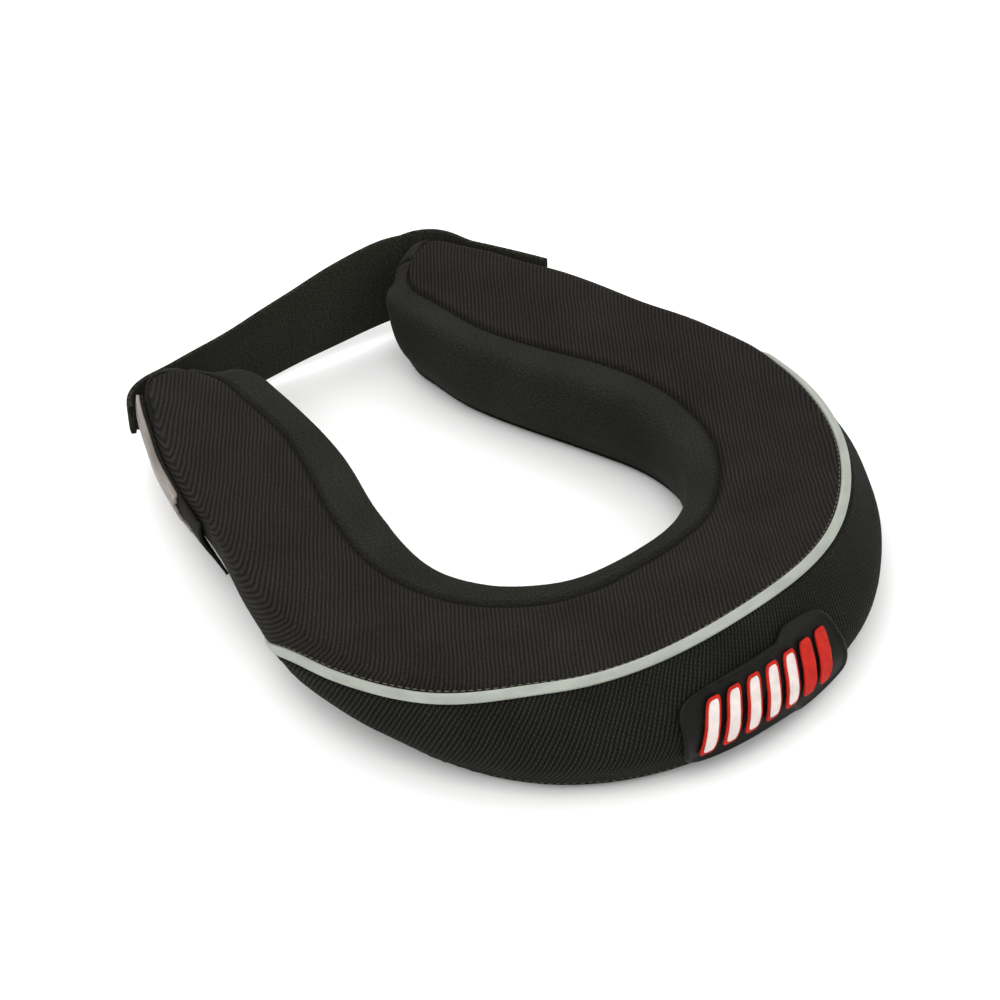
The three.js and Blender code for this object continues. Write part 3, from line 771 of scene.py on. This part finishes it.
@dataclass
class Panels:
    """The sewn fabric over the foam: neck cover with its tip rims, top, nape band and base."""

    form: PadForm
    palette: Palette
    tip_rim: float = 8.5
    rim_reach: float = 62.0
    rim_fall: float = 30.0
    rim_drop: float = 3.0
    hem: float = 3.0
    wall: float = 1.4
    seam_depth: float = 1.3
    seam_width: float = 1.9
    rib_angle: float = math.radians(51)
    fold_width: float = 7.0
    pleat_pitch: float = 4.2
    pleat_drift: float = 1.7
    drift_length: float = 19.0
    allowance: float = 4.2
    allowance_width: float = 1.1
    swell_reach: float = 9.0
    ripple_reach: float = 8.0
    pleat_reach: float = 5.0
    full_depth_width: float = 6.0
    tip_fade: float = 5.0
    least_height: float = 0.1
    swelling: Unevenness = Unevenness(4, 46, 0.45)
    ripple: Unevenness = Unevenness(11, 17, 0.14)

    def top_edges(self, share: Array) -> tuple[Array, Array]:
        """Lengths round the outline where the top starts, on the outer side, and ends, at the neck seam.

        The outer edge runs up to the crease before the tip, and goes down to the hem under what is sewn on
        there. Both edges close in on the top's middle by the superellipse of an arm shortened by the rim.

        Args:
            share: one share for each row.
        Returns:
            The lengths at the outer edge and at the seam.
        """
        at = self.form.lengths(share)
        middle = (at["crease"] + at["seam"]) / 2
        closing = self.form.narrowing(share, self.tip_rim) / np.maximum(self.form.narrowing(share), 1e-3)
        to_tip = self.form.half_length * (1 - np.abs(share))
        low = np.maximum(self.form.piping_length(share), at["foot"] + self.hem)
        past_piping = np.abs(share) > PIPING_ROUTE[-1, 0]
        low = np.where(past_piping, at["foot"] + self.hem, low)
        rise = 1 - smooth(to_tip, self.rim_reach - self.rim_fall, self.rim_reach)
        low = low + (at["crease"] - self.rim_drop - low) * rise
        return middle + (low - middle) * closing, middle + (at["seam"] - middle) * closing

    def relief(self, cut: Cut, length: Array) -> tuple[Array, Array]:
        """Distance to the panel's nearest seam, and height of its face over the pad.

        The panel swells slowly, ripples and gathers close to its seams, shows the seam allowance under it
        as a ridge beside its last seam, and dips into both seams by a bell curve. All of it fades at the
        arms' tips.

        Args:
            cut: the panel's outline and relief.
            length: lengths round the pad's outline, rows by columns.
        Returns:
            The distance and the height, each rows by columns.
        """
        points = self.form.surface(cut.share, length)
        width = np.maximum(cut.end - cut.start, 1e-3)[:, None]
        past = length - cut.start[:, None]
        seam = np.minimum(past, width - past)
        narrow = np.minimum(1, width / self.full_depth_width)
        dip = -self.seam_depth * np.exp(-((seam / self.seam_width) ** 2)) * narrow
        swell = self.swelling.at(points) * smooth(seam, 0.0, self.swell_reach)
        ripple = self.ripple.at(points) * np.exp(-seam / self.ripple_reach)
        run = np.abs(cut.share)[:, None] * self.form.half_length
        drift = self.pleat_drift * np.sin(run / self.drift_length)
        wave = np.sin(run * 2 * math.pi / self.pleat_pitch + drift)
        pleats = cut.gathers * wave * np.exp(-seam / self.pleat_reach)
        allowance = cut.ridge * np.exp(-(((width - past - self.allowance) / self.allowance_width) ** 2))
        fade = smooth(self.form.half_length - run, 0.0, self.tip_fade)
        return seam, (dip + swell + ripple + pleats + allowance) * fade

    def sheet(self, cut: Cut, columns: int, plan_cut: bool = False) -> Sheet:
        """One panel as a grid.

        Args:
            cut: the panel's outline and relief.
            columns: how many points each row has.
            plan_cut: whether the flat coordinates are the plan's, or run along the panel.
        Returns:
            The panel.
        """
        length = cut.start[:, None] + (cut.end - cut.start)[:, None] * eased(columns)[None, :]
        seam, height = self.relief(cut, length)
        on_pad, lifted = (self.form.surface(cut.share, length, lift) for lift in (0.0, 1.0))
        points = on_pad + unit(lifted - on_pad) * height[..., None]
        points[..., 2] = np.maximum(points[..., 2], self.least_height)
        flat = self.plan_flat(cut.share, length) if plan_cut else self.along_flat(cut.share, length)
        return Sheet(points, flat, seam)

    def plan_flat(self, share: Array, length: Array) -> Array:
        """Plan coordinates turned to the ribs' direction, which turns back past the crease, as if mitred.

        Args:
            share: one share for each row.
            length: lengths round the outline, rows by columns.
        Returns:
            Distance across and along the ribs, rows by columns by two.
        """
        crease = self.form.lengths(share)["crease"][:, None]
        below = crease - length
        folded = (below + np.sqrt(below**2 + self.fold_width**2)) / 2
        at = self.form.section_points(share, np.maximum(length, crease))
        plan = self.form.to_space(share, at[..., 0] - folded, at[..., 1])[..., :2]
        across = plan[..., 0] * math.sin(self.rib_angle) - plan[..., 1] * math.cos(self.rib_angle)
        along = plan[..., 0] * math.cos(self.rib_angle) + plan[..., 1] * math.sin(self.rib_angle)
        return np.stack([across, along], axis=-1)

    def along_flat(self, share: Array, length: Array) -> Array:
        """Distance along the panel's first line, and the length round the outline."""
        run = run_along(self.form.surface(share, length[:, :1])[:, 0])
        return np.stack([run[:, None] + 0 * length, length], axis=-1)

    def both_arms(self, half: Array) -> Array:
        """Shares from the -X tip to the +X tip."""
        return np.concatenate([-half[:0:-1], half])

    def top_cut(self, share: Array) -> Cut:
        """The ribbed top, from the piping or the hem up to the neck seam."""
        low, high = self.top_edges(share)
        return Cut(share, low, high)

    def neck_cut(self, share: Array) -> Cut:
        """The neck wall, from its seam down to its hem."""
        _, high = self.top_edges(share)
        return Cut(share, high, self.form.lengths(share)["neck_foot"] - self.hem, 0.12)

    def rim_cut(self, share: Array) -> Cut:
        """The rim on the outer side of an arm's end, from its hem up to the top.

        Args:
            share: one share for each row.
        Returns:
            The outline.
        """
        low, _ = self.top_edges(share)
        foot = self.form.lengths(share)["foot"] + self.hem
        return Cut(share, foot, np.maximum(low, foot + 0.05))

    def band_cut(self, share: Array) -> Cut:
        """The mesh band round the nape, from its hem up to the piping."""
        foot = self.form.lengths(share)["foot"] + self.hem
        return Cut(share, foot, self.form.piping_length(share), 0.22, 0.55)

    def build_top(self) -> bpy.types.Object:
        """Ribbed mesh over the top and the outside of the arms.

        Returns:
            The piece.
        """
        last = 1 - (self.tip_rim + 0.05) / self.form.half_length
        share = self.both_arms(along_half(self.form, 260, 40))
        cut = self.top_cut(share[np.abs(share) < last])
        piece = add_mesh("top_cover_ribbed", [self.sheet(cut, 72, plan_cut=True)])
        give_thickness(piece, self.wall)
        return finish_piece(piece, self.palette.top.build(), ("top_cover", "foam_core"))

    def build_neck(self) -> bpy.types.Object:
        """Smooth neck wall, with the rim that goes on round each arm's end to its outer wall.

        Returns:
            The piece.
        """
        share = self.both_arms(along_half(self.form, 230, 44))
        sheets = [self.sheet(self.neck_cut(share), 52)]
        outer = along_half(self.form, 60, 44, 1 - self.rim_reach / self.form.half_length)
        sheets += [self.sheet(self.rim_cut(rim), 36) for rim in (outer, -outer[::-1])]
        piece = add_mesh("neck_cover_smooth", sheets)
        give_thickness(piece, self.wall)
        return finish_piece(piece, self.palette.neck.build(), ("neck_cover",))

    def build_band(self) -> bpy.types.Object:
        """Diagonal mesh below the piping, round the nape.

        Returns:
            The piece.
        """
        share = np.linspace(-PIPING_ROUTE[-1, 0], PIPING_ROUTE[-1, 0], 420)
        whole = self.band_cut(share)
        cut = self.band_cut(share[whole.end > whole.start + 0.3])
        piece = add_mesh("nape_band_mesh", [self.sheet(cut, 60)])
        give_thickness(piece, self.wall)
        return finish_piece(piece, self.palette.band.build(), ("nape_band",))

    def build_base(self) -> bpy.types.Object:
        """Flat underside, turned up a little at its hem.

        Returns:
            The piece.
        """
        share = self.both_arms(along_half(self.form, 150, 24))
        at = self.form.lengths(share)
        t = np.linspace(0, 1, 26)[None, :]
        start, end = at["neck_foot"] - self.hem, at["whole"] + at["foot"] + self.hem
        length = start[:, None] + (end - start)[:, None] * t
        points = self.form.surface(share, length, -0.2)
        points[..., 2] = np.maximum(points[..., 2], 0.0)
        width = (end - start)[:, None]
        seam = width * np.minimum(t, 1 - t)
        piece = add_mesh("base_cover_woven", [Sheet(points, points[..., :2].copy(), seam)])
        give_thickness(piece, self.wall)
        return finish_piece(piece, self.palette.base.build(), ("base_cover",))


def with_poles(rings: Array) -> Array:
    """Rings with one more at each end, shrunk to the middle of the ring beside it."""
    poles = rings[[0, -1]].mean(1, keepdims=True).repeat(rings.shape[1], axis=1)
    return np.concatenate([poles[:1], rings, poles[1:]])


def tube(line: Array, across: Array, up: Array, profile: Array) -> Sheet:
    """Profile carried along a line, with both ends closed.

    Each point is the line's, plus the profile's two coordinates along two directions.

    Args:
        line: points of the path, rows by three.
        across: unit direction of the profile's first coordinate, rows by three.
        up: unit direction of its second coordinate, rows by three.
        profile: points of the closed profile, columns by two.
    Returns:
        The sheet, to be closed along its columns.
    """
    rings = line[:, None] + across[:, None] * profile[None, :, :1] + up[:, None] * profile[None, :, 1:]
    rings = with_poles(rings)
    flat = np.stack(np.meshgrid(run_along(rings.mean(1)), run_along(profile), indexing="ij"), axis=-1)
    return seamless(rings, flat)


def rounded_bar(width: float, height: float, squareness: float = 4.0, count: int = 24) -> Array:
    """Closed superellipse of a width and height about the origin, anticlockwise.

    Args:
        width: its size along the first coordinate.
        height: its size along the second.
        squareness: the power, 2 for an ellipse and more for squarer corners.
        count: how many points.
    Returns:
        The points, rows by two.
    """
    angle = np.linspace(0, 2 * math.pi, count, endpoint=False)
    cosine, sine = np.cos(angle), np.sin(angle)
    x = np.sign(cosine) * np.abs(cosine) ** (2 / squareness) * width / 2
    y = np.sign(sine) * np.abs(sine) ** (2 / squareness) * height / 2
    return np.stack([x, y], axis=-1)


@dataclass
class Piping:
    """Flat reflective piping in the seam between the top and the nape band."""

    form: PadForm
    palette: Palette
    width: float = 4.2
    rise: float = 1.1
    root: float = 1.2
    above_foot: float = 2.5
    stations: int = 420

    def build(self) -> bpy.types.Object:
        """Superellipse bar carried along the seam, standing a little off the pad.

        Returns:
            The piece.
        """
        end = PIPING_ROUTE[-1, 0]
        share = np.linspace(-end, end, self.stations)
        foot = self.form.lengths(share)["foot"] + self.above_foot
        length = self.form.piping_length(share)
        kept = length > foot
        share, length = share[kept], length[kept][:, None]
        middle = self.form.surface(share, length, (self.rise - self.root) / 2)[:, 0]
        below = self.form.surface(share, length - 1.5)[:, 0]
        above = self.form.surface(share, length + 1.5)[:, 0]
        along = unit(np.gradient(middle, axis=0))
        down = unit(below - above)
        up = unit(np.cross(along, down))
        outward = self.form.surface(share, length, 5.0)[:, 0] - middle
        up = up * np.sign((up * outward).sum(-1, keepdims=True))
        down = np.cross(along, up)
        profile = rounded_bar(self.width, self.rise + self.root, 3.2, 20)
        piece = add_mesh("reflective_piping", [tube(middle, down, up, profile)], closed=True)
        return finish_piece(piece, self.palette.piping.build(), ("piping",))


def moulding(form: PadForm, outline: Array, centre: Array, levels: Array) -> Sheet:
    """Closed moulded plate on the nape wall: rings that follow an outline inwards, each at its own lift.

    Args:
        form: the pad.
        outline: distance along the wall and drop below the crease, points by two.
        centre: the middle of the plate, in the same coordinates.
        levels: rows of inset and lift, from the underside's middle round to the face's middle.
    Returns:
        The sheet, to be closed along its columns.
    """
    to_edge = outline - centre
    size = np.linalg.norm(to_edge, axis=-1)
    shrink = np.clip(1 - levels[:, :1] / size[None, :], 0, 1)
    flat = centre + to_edge[None] * shrink[..., None]
    lift = np.broadcast_to(levels[:, 1:], flat.shape[:2])
    share = form.nape_share(flat[..., 0]).reshape(-1)
    points = form.off_wall(share, flat[..., 1].reshape(-1, 1), lift.reshape(-1, 1))
    return seamless(points.reshape(*flat.shape[:2], 3), flat)


@dataclass
class NapeLabel:
    """Rubber label on the nape band: a plate with a raised rim and slanted raised bars."""

    form: PadForm
    palette: Palette
    length: float = 86.0
    height: float = 29.0
    drop: float = 31.0
    shift: float = -8.0
    head: float = 4.0
    head_start: float = 9.0
    head_blend: float = 9.0
    low: float = 0.6
    thickness: float = 1.6
    rim: float = 0.8
    bars: int = 7
    red_bars: int = 2
    margin: float = 13.0
    bar_reach: float = 0.6
    bar_width: float = 0.55
    slant: float = math.radians(22)

    def build(self) -> None:
        """Plate first, then the bars as two pieces, red and white."""
        top = self.low + self.thickness
        edge = [(TO_CENTRE, self.low), (0.6, self.low), (0, self.low + 0.5), (0.1, top)]
        raised = [(0.6, top + self.rim * 0.7), (1.3, top + self.rim), (2.0, top + self.rim * 0.7)]
        face = [(2.6, top - 0.1), (3.2, top - 0.3), (TO_CENTRE, top - 0.3)]
        outline = rounded_bar(self.length, self.height, 5.0, 240)
        wider = self.head * smooth(outline[:, 0], self.head_start, self.head_start + self.head_blend)
        outline[:, 1] *= 1 + wider / (self.height / 2)
        centre = np.array([self.shift, self.drop])
        plate = moulding(self.form, outline + centre, centre, np.array(edge + raised + face))
        plate_piece = add_mesh("label_plate", [plate], closed=True)
        finish_piece(plate_piece, self.palette.rubber.build(), ("nape_label",))
        pitch = (self.length - 2 * self.margin) / (self.bars - 1)
        places = pitch * (np.arange(self.bars) - (self.bars - 1) / 2)
        width = pitch * self.bar_width
        reach = self.height * self.bar_reach
        red = [self.bar(place, width + 1.6, reach + 1.6, top - 0.5, top + 0.55) for place in places]
        faced = places[: -self.red_bars]
        white = [self.bar(place, width - 0.6, reach - 1.0, top + 0.2, top + 0.95) for place in faced]
        red_piece = add_mesh("label_bars_red", red, closed=True)
        finish_piece(red_piece, self.palette.red.build())
        white_piece = add_mesh("label_bars_white", white, closed=True)
        finish_piece(white_piece, self.palette.white.build())

    def bar(self, middle: float, width: float, reach: float, low: float, high: float) -> Sheet:
        """One slanted bar with rounded corners: a superellipse sheared along the wall.

        Args:
            middle: its place along the label from the label's middle.
            width: its width.
            reach: its height on the wall.
            low: the lift of its underside.
            high: the lift of its face.
        Returns:
            The bar, to be closed along its columns.
        """
        outline = rounded_bar(width, reach, 5.0, 40)
        outline[:, 0] -= outline[:, 1] * math.tan(self.slant)
        centre = np.array([middle + self.shift, self.drop])
        edge = [(0.3, low), (0, low + 0.2), (0, high - 0.35), (0.25, high - 0.05), (0.6, high)]
        levels = [(TO_CENTRE, low), *edge, (TO_CENTRE, high)]
        return moulding(self.form, outline + centre, centre, np.array(levels))


@dataclass
class Strap:
    """Throat strap of brushed loop fabric, from its sewn end over both arms' ends to its free end."""

    form: PadForm
    palette: Palette
    width: float = 38.0
    thickness: float = 2.8
    foot: float = 5.0
    sewn_length: float = 62.0
    free_end: float = 21.0
    end_rise: float = 24.0
    end_slant: float = 34.0
    span_rise: float = 3.5
    span_sag: float = 3.0
    sag_reach: float = 0.6
    lean: float = math.radians(17)
    upright: float = 0.5
    upright_power: float = 6.0
    high_off: float = 3.9
    low_off: float = 0.3
    stations: int = 260

    def tip_outline(self, length: float) -> Array:
        """Outermost line in plan of the +X arm, up to its furthest point forward.

        Args:
            length: where the line starts, measured back from the tip.
        Returns:
            The points, rows by two.
        """
        t = 1 - (1 - np.linspace(0, 1, 90)) ** 1.5
        share = 1 - length / self.form.half_length * (1 - t)
        reach = self.form.outline(share)[..., 0].max(-1, keepdims=True)
        line = self.form.to_space(share, reach, self.form.height + 0 * reach)[:, 0, :2]
        return line[: int(line[:, 1].argmax()) + 1]

    def line(self) -> Array:
        """The strap's line in plan, evenly spaced and eased round its bends by a running mean.

        Returns:
            The points, rows by two.
        """
        sewn, free = self.tip_outline(self.sewn_length), self.tip_outline(self.free_end)[::-1]
        plan = np.concatenate([sewn, free * np.array([-1, 1])])
        run = run_along(plan)
        even = np.linspace(0, run[-1], self.stations)
        plan = np.stack([np.interp(even, run, plan[:, k]) for k in (0, 1)], axis=-1)
        reach = 4
        weights = np.ones(2 * reach + 1) / (2 * reach + 1)
        for k in (0, 1):
            plan[reach:-reach, k] = np.convolve(plan[:, k], weights, mode="valid")
        return plan

    def build(self) -> bpy.types.Object:
        """Superellipse section carried along the line, leaning outwards at +X and inwards at -X.

        Returns:
            The piece.
        """
        plan = self.line()
        along = unit(np.gradient(plan, axis=0))
        out = np.stack([along[:, 1], -along[:, 0]], axis=-1)
        corner_x, corner_y = self.tip_outline(self.sewn_length)[-1]
        across = np.clip(plan[:, 0] / corner_x, -1, 1)
        off = self.high_off + (self.low_off - self.high_off) * (across + 1) / 2
        spanning = smooth(plan[:, 1], corner_y - self.form.tip_rounding, corner_y)
        upright = np.abs(across) ** self.upright_power * np.where(across > 0, self.upright, 1.0)
        swing = self.width / 2 * math.tan(self.lean) * spanning * (1 - upright)
        bottom, top = off + swing * (1 - across), off + swing * (1 + across)
        profile = rounded_bar(self.width, self.thickness, 6.0, 56)
        level = (profile[:, 0] / self.width + 0.5)[None, :]
        reach = bottom[:, None] + (top - bottom)[:, None] * level
        reach = reach + self.thickness / 2 + profile[None, :, 1]
        run = run_along(plan)[:, None]
        sag = self.span_sag * spanning
        lift = (self.span_rise + sag) * smooth(across, -self.sag_reach, 1.0) - sag
        rise = self.end_rise * (1 - smooth(run[-1] - run, 0.0, self.end_slant))
        z = self.foot + lift[:, None] + rise * (1 - level) + self.width * level
        waver = 0.35 * np.sin(run / 17 + 0.6) + 0.15 * np.sin(run / 6.1 + level * 3)
        reach = reach + waver * spanning[:, None]
        points = np.stack([plan[:, :1] + out[:, :1] * reach, plan[:, 1:] + out[:, 1:] * reach, z], axis=-1)
        points = with_poles(points)[:, ::-1]
        run = np.concatenate([run[:1], run, run[-1:]])
        flat = np.stack(np.broadcast_arrays(run, (self.width * level)[:, ::-1]), axis=-1)
        piece = add_mesh("throat_strap_loop", [seamless(points, flat)], closed=True)
        return finish_piece(piece, self.palette.strap.build(), ("throat_strap",))


@dataclass
class HookTape:
    """Hook patch on the outside of the -X arm, on a fabric backing that goes on as a short flap."""

    form: PadForm
    palette: Palette
    length: float = 64.0
    from_tip: float = 15.0
    drop: float = 5.0
    height: float = 30.0
    flap: float = 21.0
    backing_low: float = 0.6
    backing: float = 1.2
    hook_low: float = 2.2
    hooks: float = 1.4
    flare: float = 2.6
    quick_wave: float = 5.3
    slow_wave: float = 13.0

    def sheet(self, length: float, top: float, ragged: float, lift_waves: float) -> Sheet:
        """Rectangle on the wall, with a ragged far end and slow waves off the wall.

        Args:
            length: its length along the arm.
            top: the lift of its face.
            ragged: how far the far end is torn.
            lift_waves: the depth of the waves.
        Returns:
            The sheet.
        """
        run, t = np.linspace(0, length, 120), np.linspace(0, 1, 40)
        share = (self.from_tip + run) / self.form.half_length - 1
        drop = self.drop + self.height * t[None, :] + 0 * run[:, None]
        torn = ragged * (np.sin(t * 23) + 0.6 * np.sin(t * 51 + 1) + 0.8 * t)
        tear = torn[None, :] * smooth(run, length * 0.8, length)[:, None]
        quick = np.sin(run / self.quick_wave)[:, None] * np.sin(t * 5 + 1)[None, :]
        wave = lift_waves * (quick + np.sin(run / self.slow_wave)[:, None])
        curl = self.flare * t[None, :] ** 2 * smooth(run, 0.0, self.length * 0.7)[:, None]
        points = self.form.off_wall(share, drop, top + wave + curl)
        along = np.gradient(points, axis=0) / (length / (len(run) - 1))
        flat = np.stack(np.broadcast_arrays(run[:, None], drop), axis=-1)
        return seamless((points + along * tear[..., None])[:, ::-1], flat[:, ::-1])

    def build(self) -> None:
        """Backing with its flap, then the hook tape over it."""
        backing_sheet = self.sheet(self.length + self.flap, self.backing_low + self.backing, 0.0, 0.1)
        backing = add_mesh("hook_backing_cloth", [backing_sheet])
        give_thickness(backing, self.backing)
        finish_piece(backing, self.palette.base.build(), ("hook_backing",))
        hooks = add_mesh("hook_tape", [self.sheet(self.length, self.hook_low + self.hooks, 0.9, 0.18)])
        give_thickness(hooks, self.hooks)
        finish_piece(hooks, self.palette.hooks.build(), ("hook_patch",))


@dataclass
class Stitching:
    """Rows of thread beside the seams: one ellipsoid for each stitch, laid along a line on a panel."""

    form: PadForm
    palette: Palette
    panels: Panels
    pitch: float = 3.0
    stitch: float = 2.1
    radius: float = 0.27
    from_tip: float = 16.0
    beside: float = 2.8

    def row(self, cut: Cut, length: Array) -> list[Sheet]:
        """Stitches along a line on a panel, each with its long axis along the line.

        Args:
            cut: the panel.
            length: length round the outline at each of the panel's shares.
        Returns:
            One sheet for each stitch, to be closed along its columns.
        """
        _, height = self.panels.relief(cut, length[:, None])
        line = self.form.surface(cut.share, length[:, None], height)[:, 0]
        raised = self.form.surface(cut.share, length[:, None], height + 1)[:, 0]
        run = run_along(line)
        at = np.arange(self.pitch / 2, run[-1], self.pitch)

        def along_line(values: Array, places: Array) -> Array:
            """Values of the line's points at places along it."""
            return np.stack([np.interp(places, run, values[:, k]) for k in range(3)], axis=-1)

        centre, up = along_line(line, at), unit(along_line(raised - line, at))
        along = unit(along_line(line, at + 0.5) - along_line(line, at - 0.5))
        across = np.cross(along, up)
        polar = np.linspace(0, math.pi, 5)[:, None]
        angle = np.linspace(0, 2 * math.pi, 6, endpoint=False)[None, :]
        lengthwise = (-np.cos(polar) * self.stitch / 2 + 0 * angle)[None, ..., None] * along[:, None, None]
        sideways = (np.sin(polar) * np.cos(angle) * self.radius)[None, ..., None] * across[:, None, None]
        upwards = (np.sin(polar) * np.sin(angle) * self.radius)[None, ..., None] * up[:, None, None]
        stitches = centre[:, None, None] + lengthwise + sideways + upwards
        flat = stitches[0, ..., :2]
        return [seamless(points, flat) for points in stitches]

    def build(self) -> None:
        """Dark rows beside the neck seam, pale rows above the piping and above the band's hem."""
        share = self.panels.both_arms(along_half(self.form, 240, 60))
        share = share[np.abs(share) < 1 - self.from_tip / self.form.half_length]
        neck = self.panels.neck_cut(share)
        dark = add_mesh("neck_seam_stitches", self.row(neck, neck.start + self.beside), closed=True)
        finish_piece(dark, self.palette.dark_thread.build())
        piped = np.linspace(-0.5, 0.5, 300)
        top, band = self.panels.top_cut(piped), self.panels.band_cut(piped)
        rows = self.row(top, top.start + self.beside) + self.row(band, band.start + self.beside)
        pale = add_mesh("hem_stitches", rows, closed=True)
        finish_piece(pale, self.palette.thread.build())


@dataclass
class Studio:
    """Pale floor, soft light and the photograph's camera."""

    form: PadForm
    azimuth: float = math.radians(-42.42)
    elevation: float = math.radians(40.04)
    distance: float = 1049.3
    focal_pixels: float = 2522.5
    image_side: float = 1000.0
    centre_right: float = 12.8
    centre_down: float = 42.5
    aim_forward: float = 5.0
    sensor: float = 36.0

    def build(self) -> None:
        """Floor, world, lights and camera."""
        self.add_floor()
        self.add_light("key", (-0.9, -0.5, 1.5), 1.6, 20.0)
        self.add_light("fill", (1.2, -0.9, 1.2), 1.8, 9.0)
        self.add_light("back", (0.3, 1.4, 1.1), 1.6, 16.0)
        world = bpy.data.worlds.new("white_room")
        world.use_nodes = True
        sky = world.node_tree.nodes["Background"].inputs
        sky["Color"].default_value = (1, 1, 1, 1)
        sky["Strength"].default_value = 0.85
        scene = bpy.context.scene
        scene.world = world
        scene.view_settings.view_transform = "Standard"
        self.add_camera()

    def add_floor(self) -> None:
        """Large pale floor under the collar."""
        side = 8.0
        mesh = bpy.data.meshes.new("floor")
        corners = [(-side, -side, 0), (side, -side, 0), (side, side, 0), (-side, side, 0)]
        mesh.from_pydata(corners, [], [(0, 1, 2, 3)])
        floor = bpy.data.objects.new("floor", mesh)
        show(floor)
        paper = Recipe("matte_paper")
        noise = paper.add("TexNoise", {"Scale": 40.0}).outputs["Fac"]
        ends = {"Factor": noise, "A": linear("#f6f6f5"), "B": linear("#fbfbfa")}
        tint = paper.add("Mix", ends, data_type="RGBA").outputs["Result"]
        mesh.materials.append(paper.done(tint, {"Roughness": 0.9}))

    def add_light(self, name: str, place: tuple[float, float, float], size: float, watts: float) -> None:
        """One square area light that faces the collar.

        Args:
            name: the light's name.
            place: where it stands, in metres.
            size: its side, in metres.
            watts: its power.
        """
        light = bpy.data.lights.new(name, "AREA")
        light.size = size
        light.energy = watts
        lamp = bpy.data.objects.new(name, light)
        lamp.location = place
        lamp.rotation_mode = "QUATERNION"
        lamp.rotation_quaternion = (-Vector(place)).to_track_quat("-Z", "Y")
        show(lamp)

    def add_camera(self) -> None:
        """Camera on a sphere round the collar's middle, with the picture's centre shifted."""
        data = bpy.data.cameras.new("camera")
        data.sensor_width = self.sensor
        data.lens = self.focal_pixels / self.image_side * self.sensor
        data.shift_x = -self.centre_right / self.image_side
        data.shift_y = self.centre_down / self.image_side
        data.clip_start, data.clip_end = 0.05, 30.0
        camera = bpy.data.objects.new("camera", data)
        level = math.cos(self.elevation)
        back = Vector(
            (math.sin(self.azimuth) * level, -math.cos(self.azimuth) * level, math.sin(self.elevation))
        )
        aim = Vector((0, (self.form.shift_y + self.aim_forward) * MM, 0))
        camera.location = aim + back * self.distance * MM
        camera.rotation_mode = "QUATERNION"
        camera.rotation_quaternion = (-back).to_track_quat("-Z", "Y")
        show(camera)
        bpy.context.scene.camera = camera


def main() -> None:
    """Builds the studio and every piece."""
    logging.basicConfig(level=logging.INFO, format="%(name)s %(message)s")
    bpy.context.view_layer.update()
    form = PadForm()
    palette = Palette()
    log.info("origin lies %.2f mm from the nape's centre", form.shift_y)
    Studio(form).build()
    panels = Panels(form, palette)
    panels.build_top()
    panels.build_neck()
    panels.build_band()
    panels.build_base()
    Piping(form, palette).build()
    NapeLabel(form, palette).build()
    Strap(form, palette).build()
    HookTape(form, palette).build()
    Stitching(form, palette, panels).build()


if __name__ == "__main__":
    main()
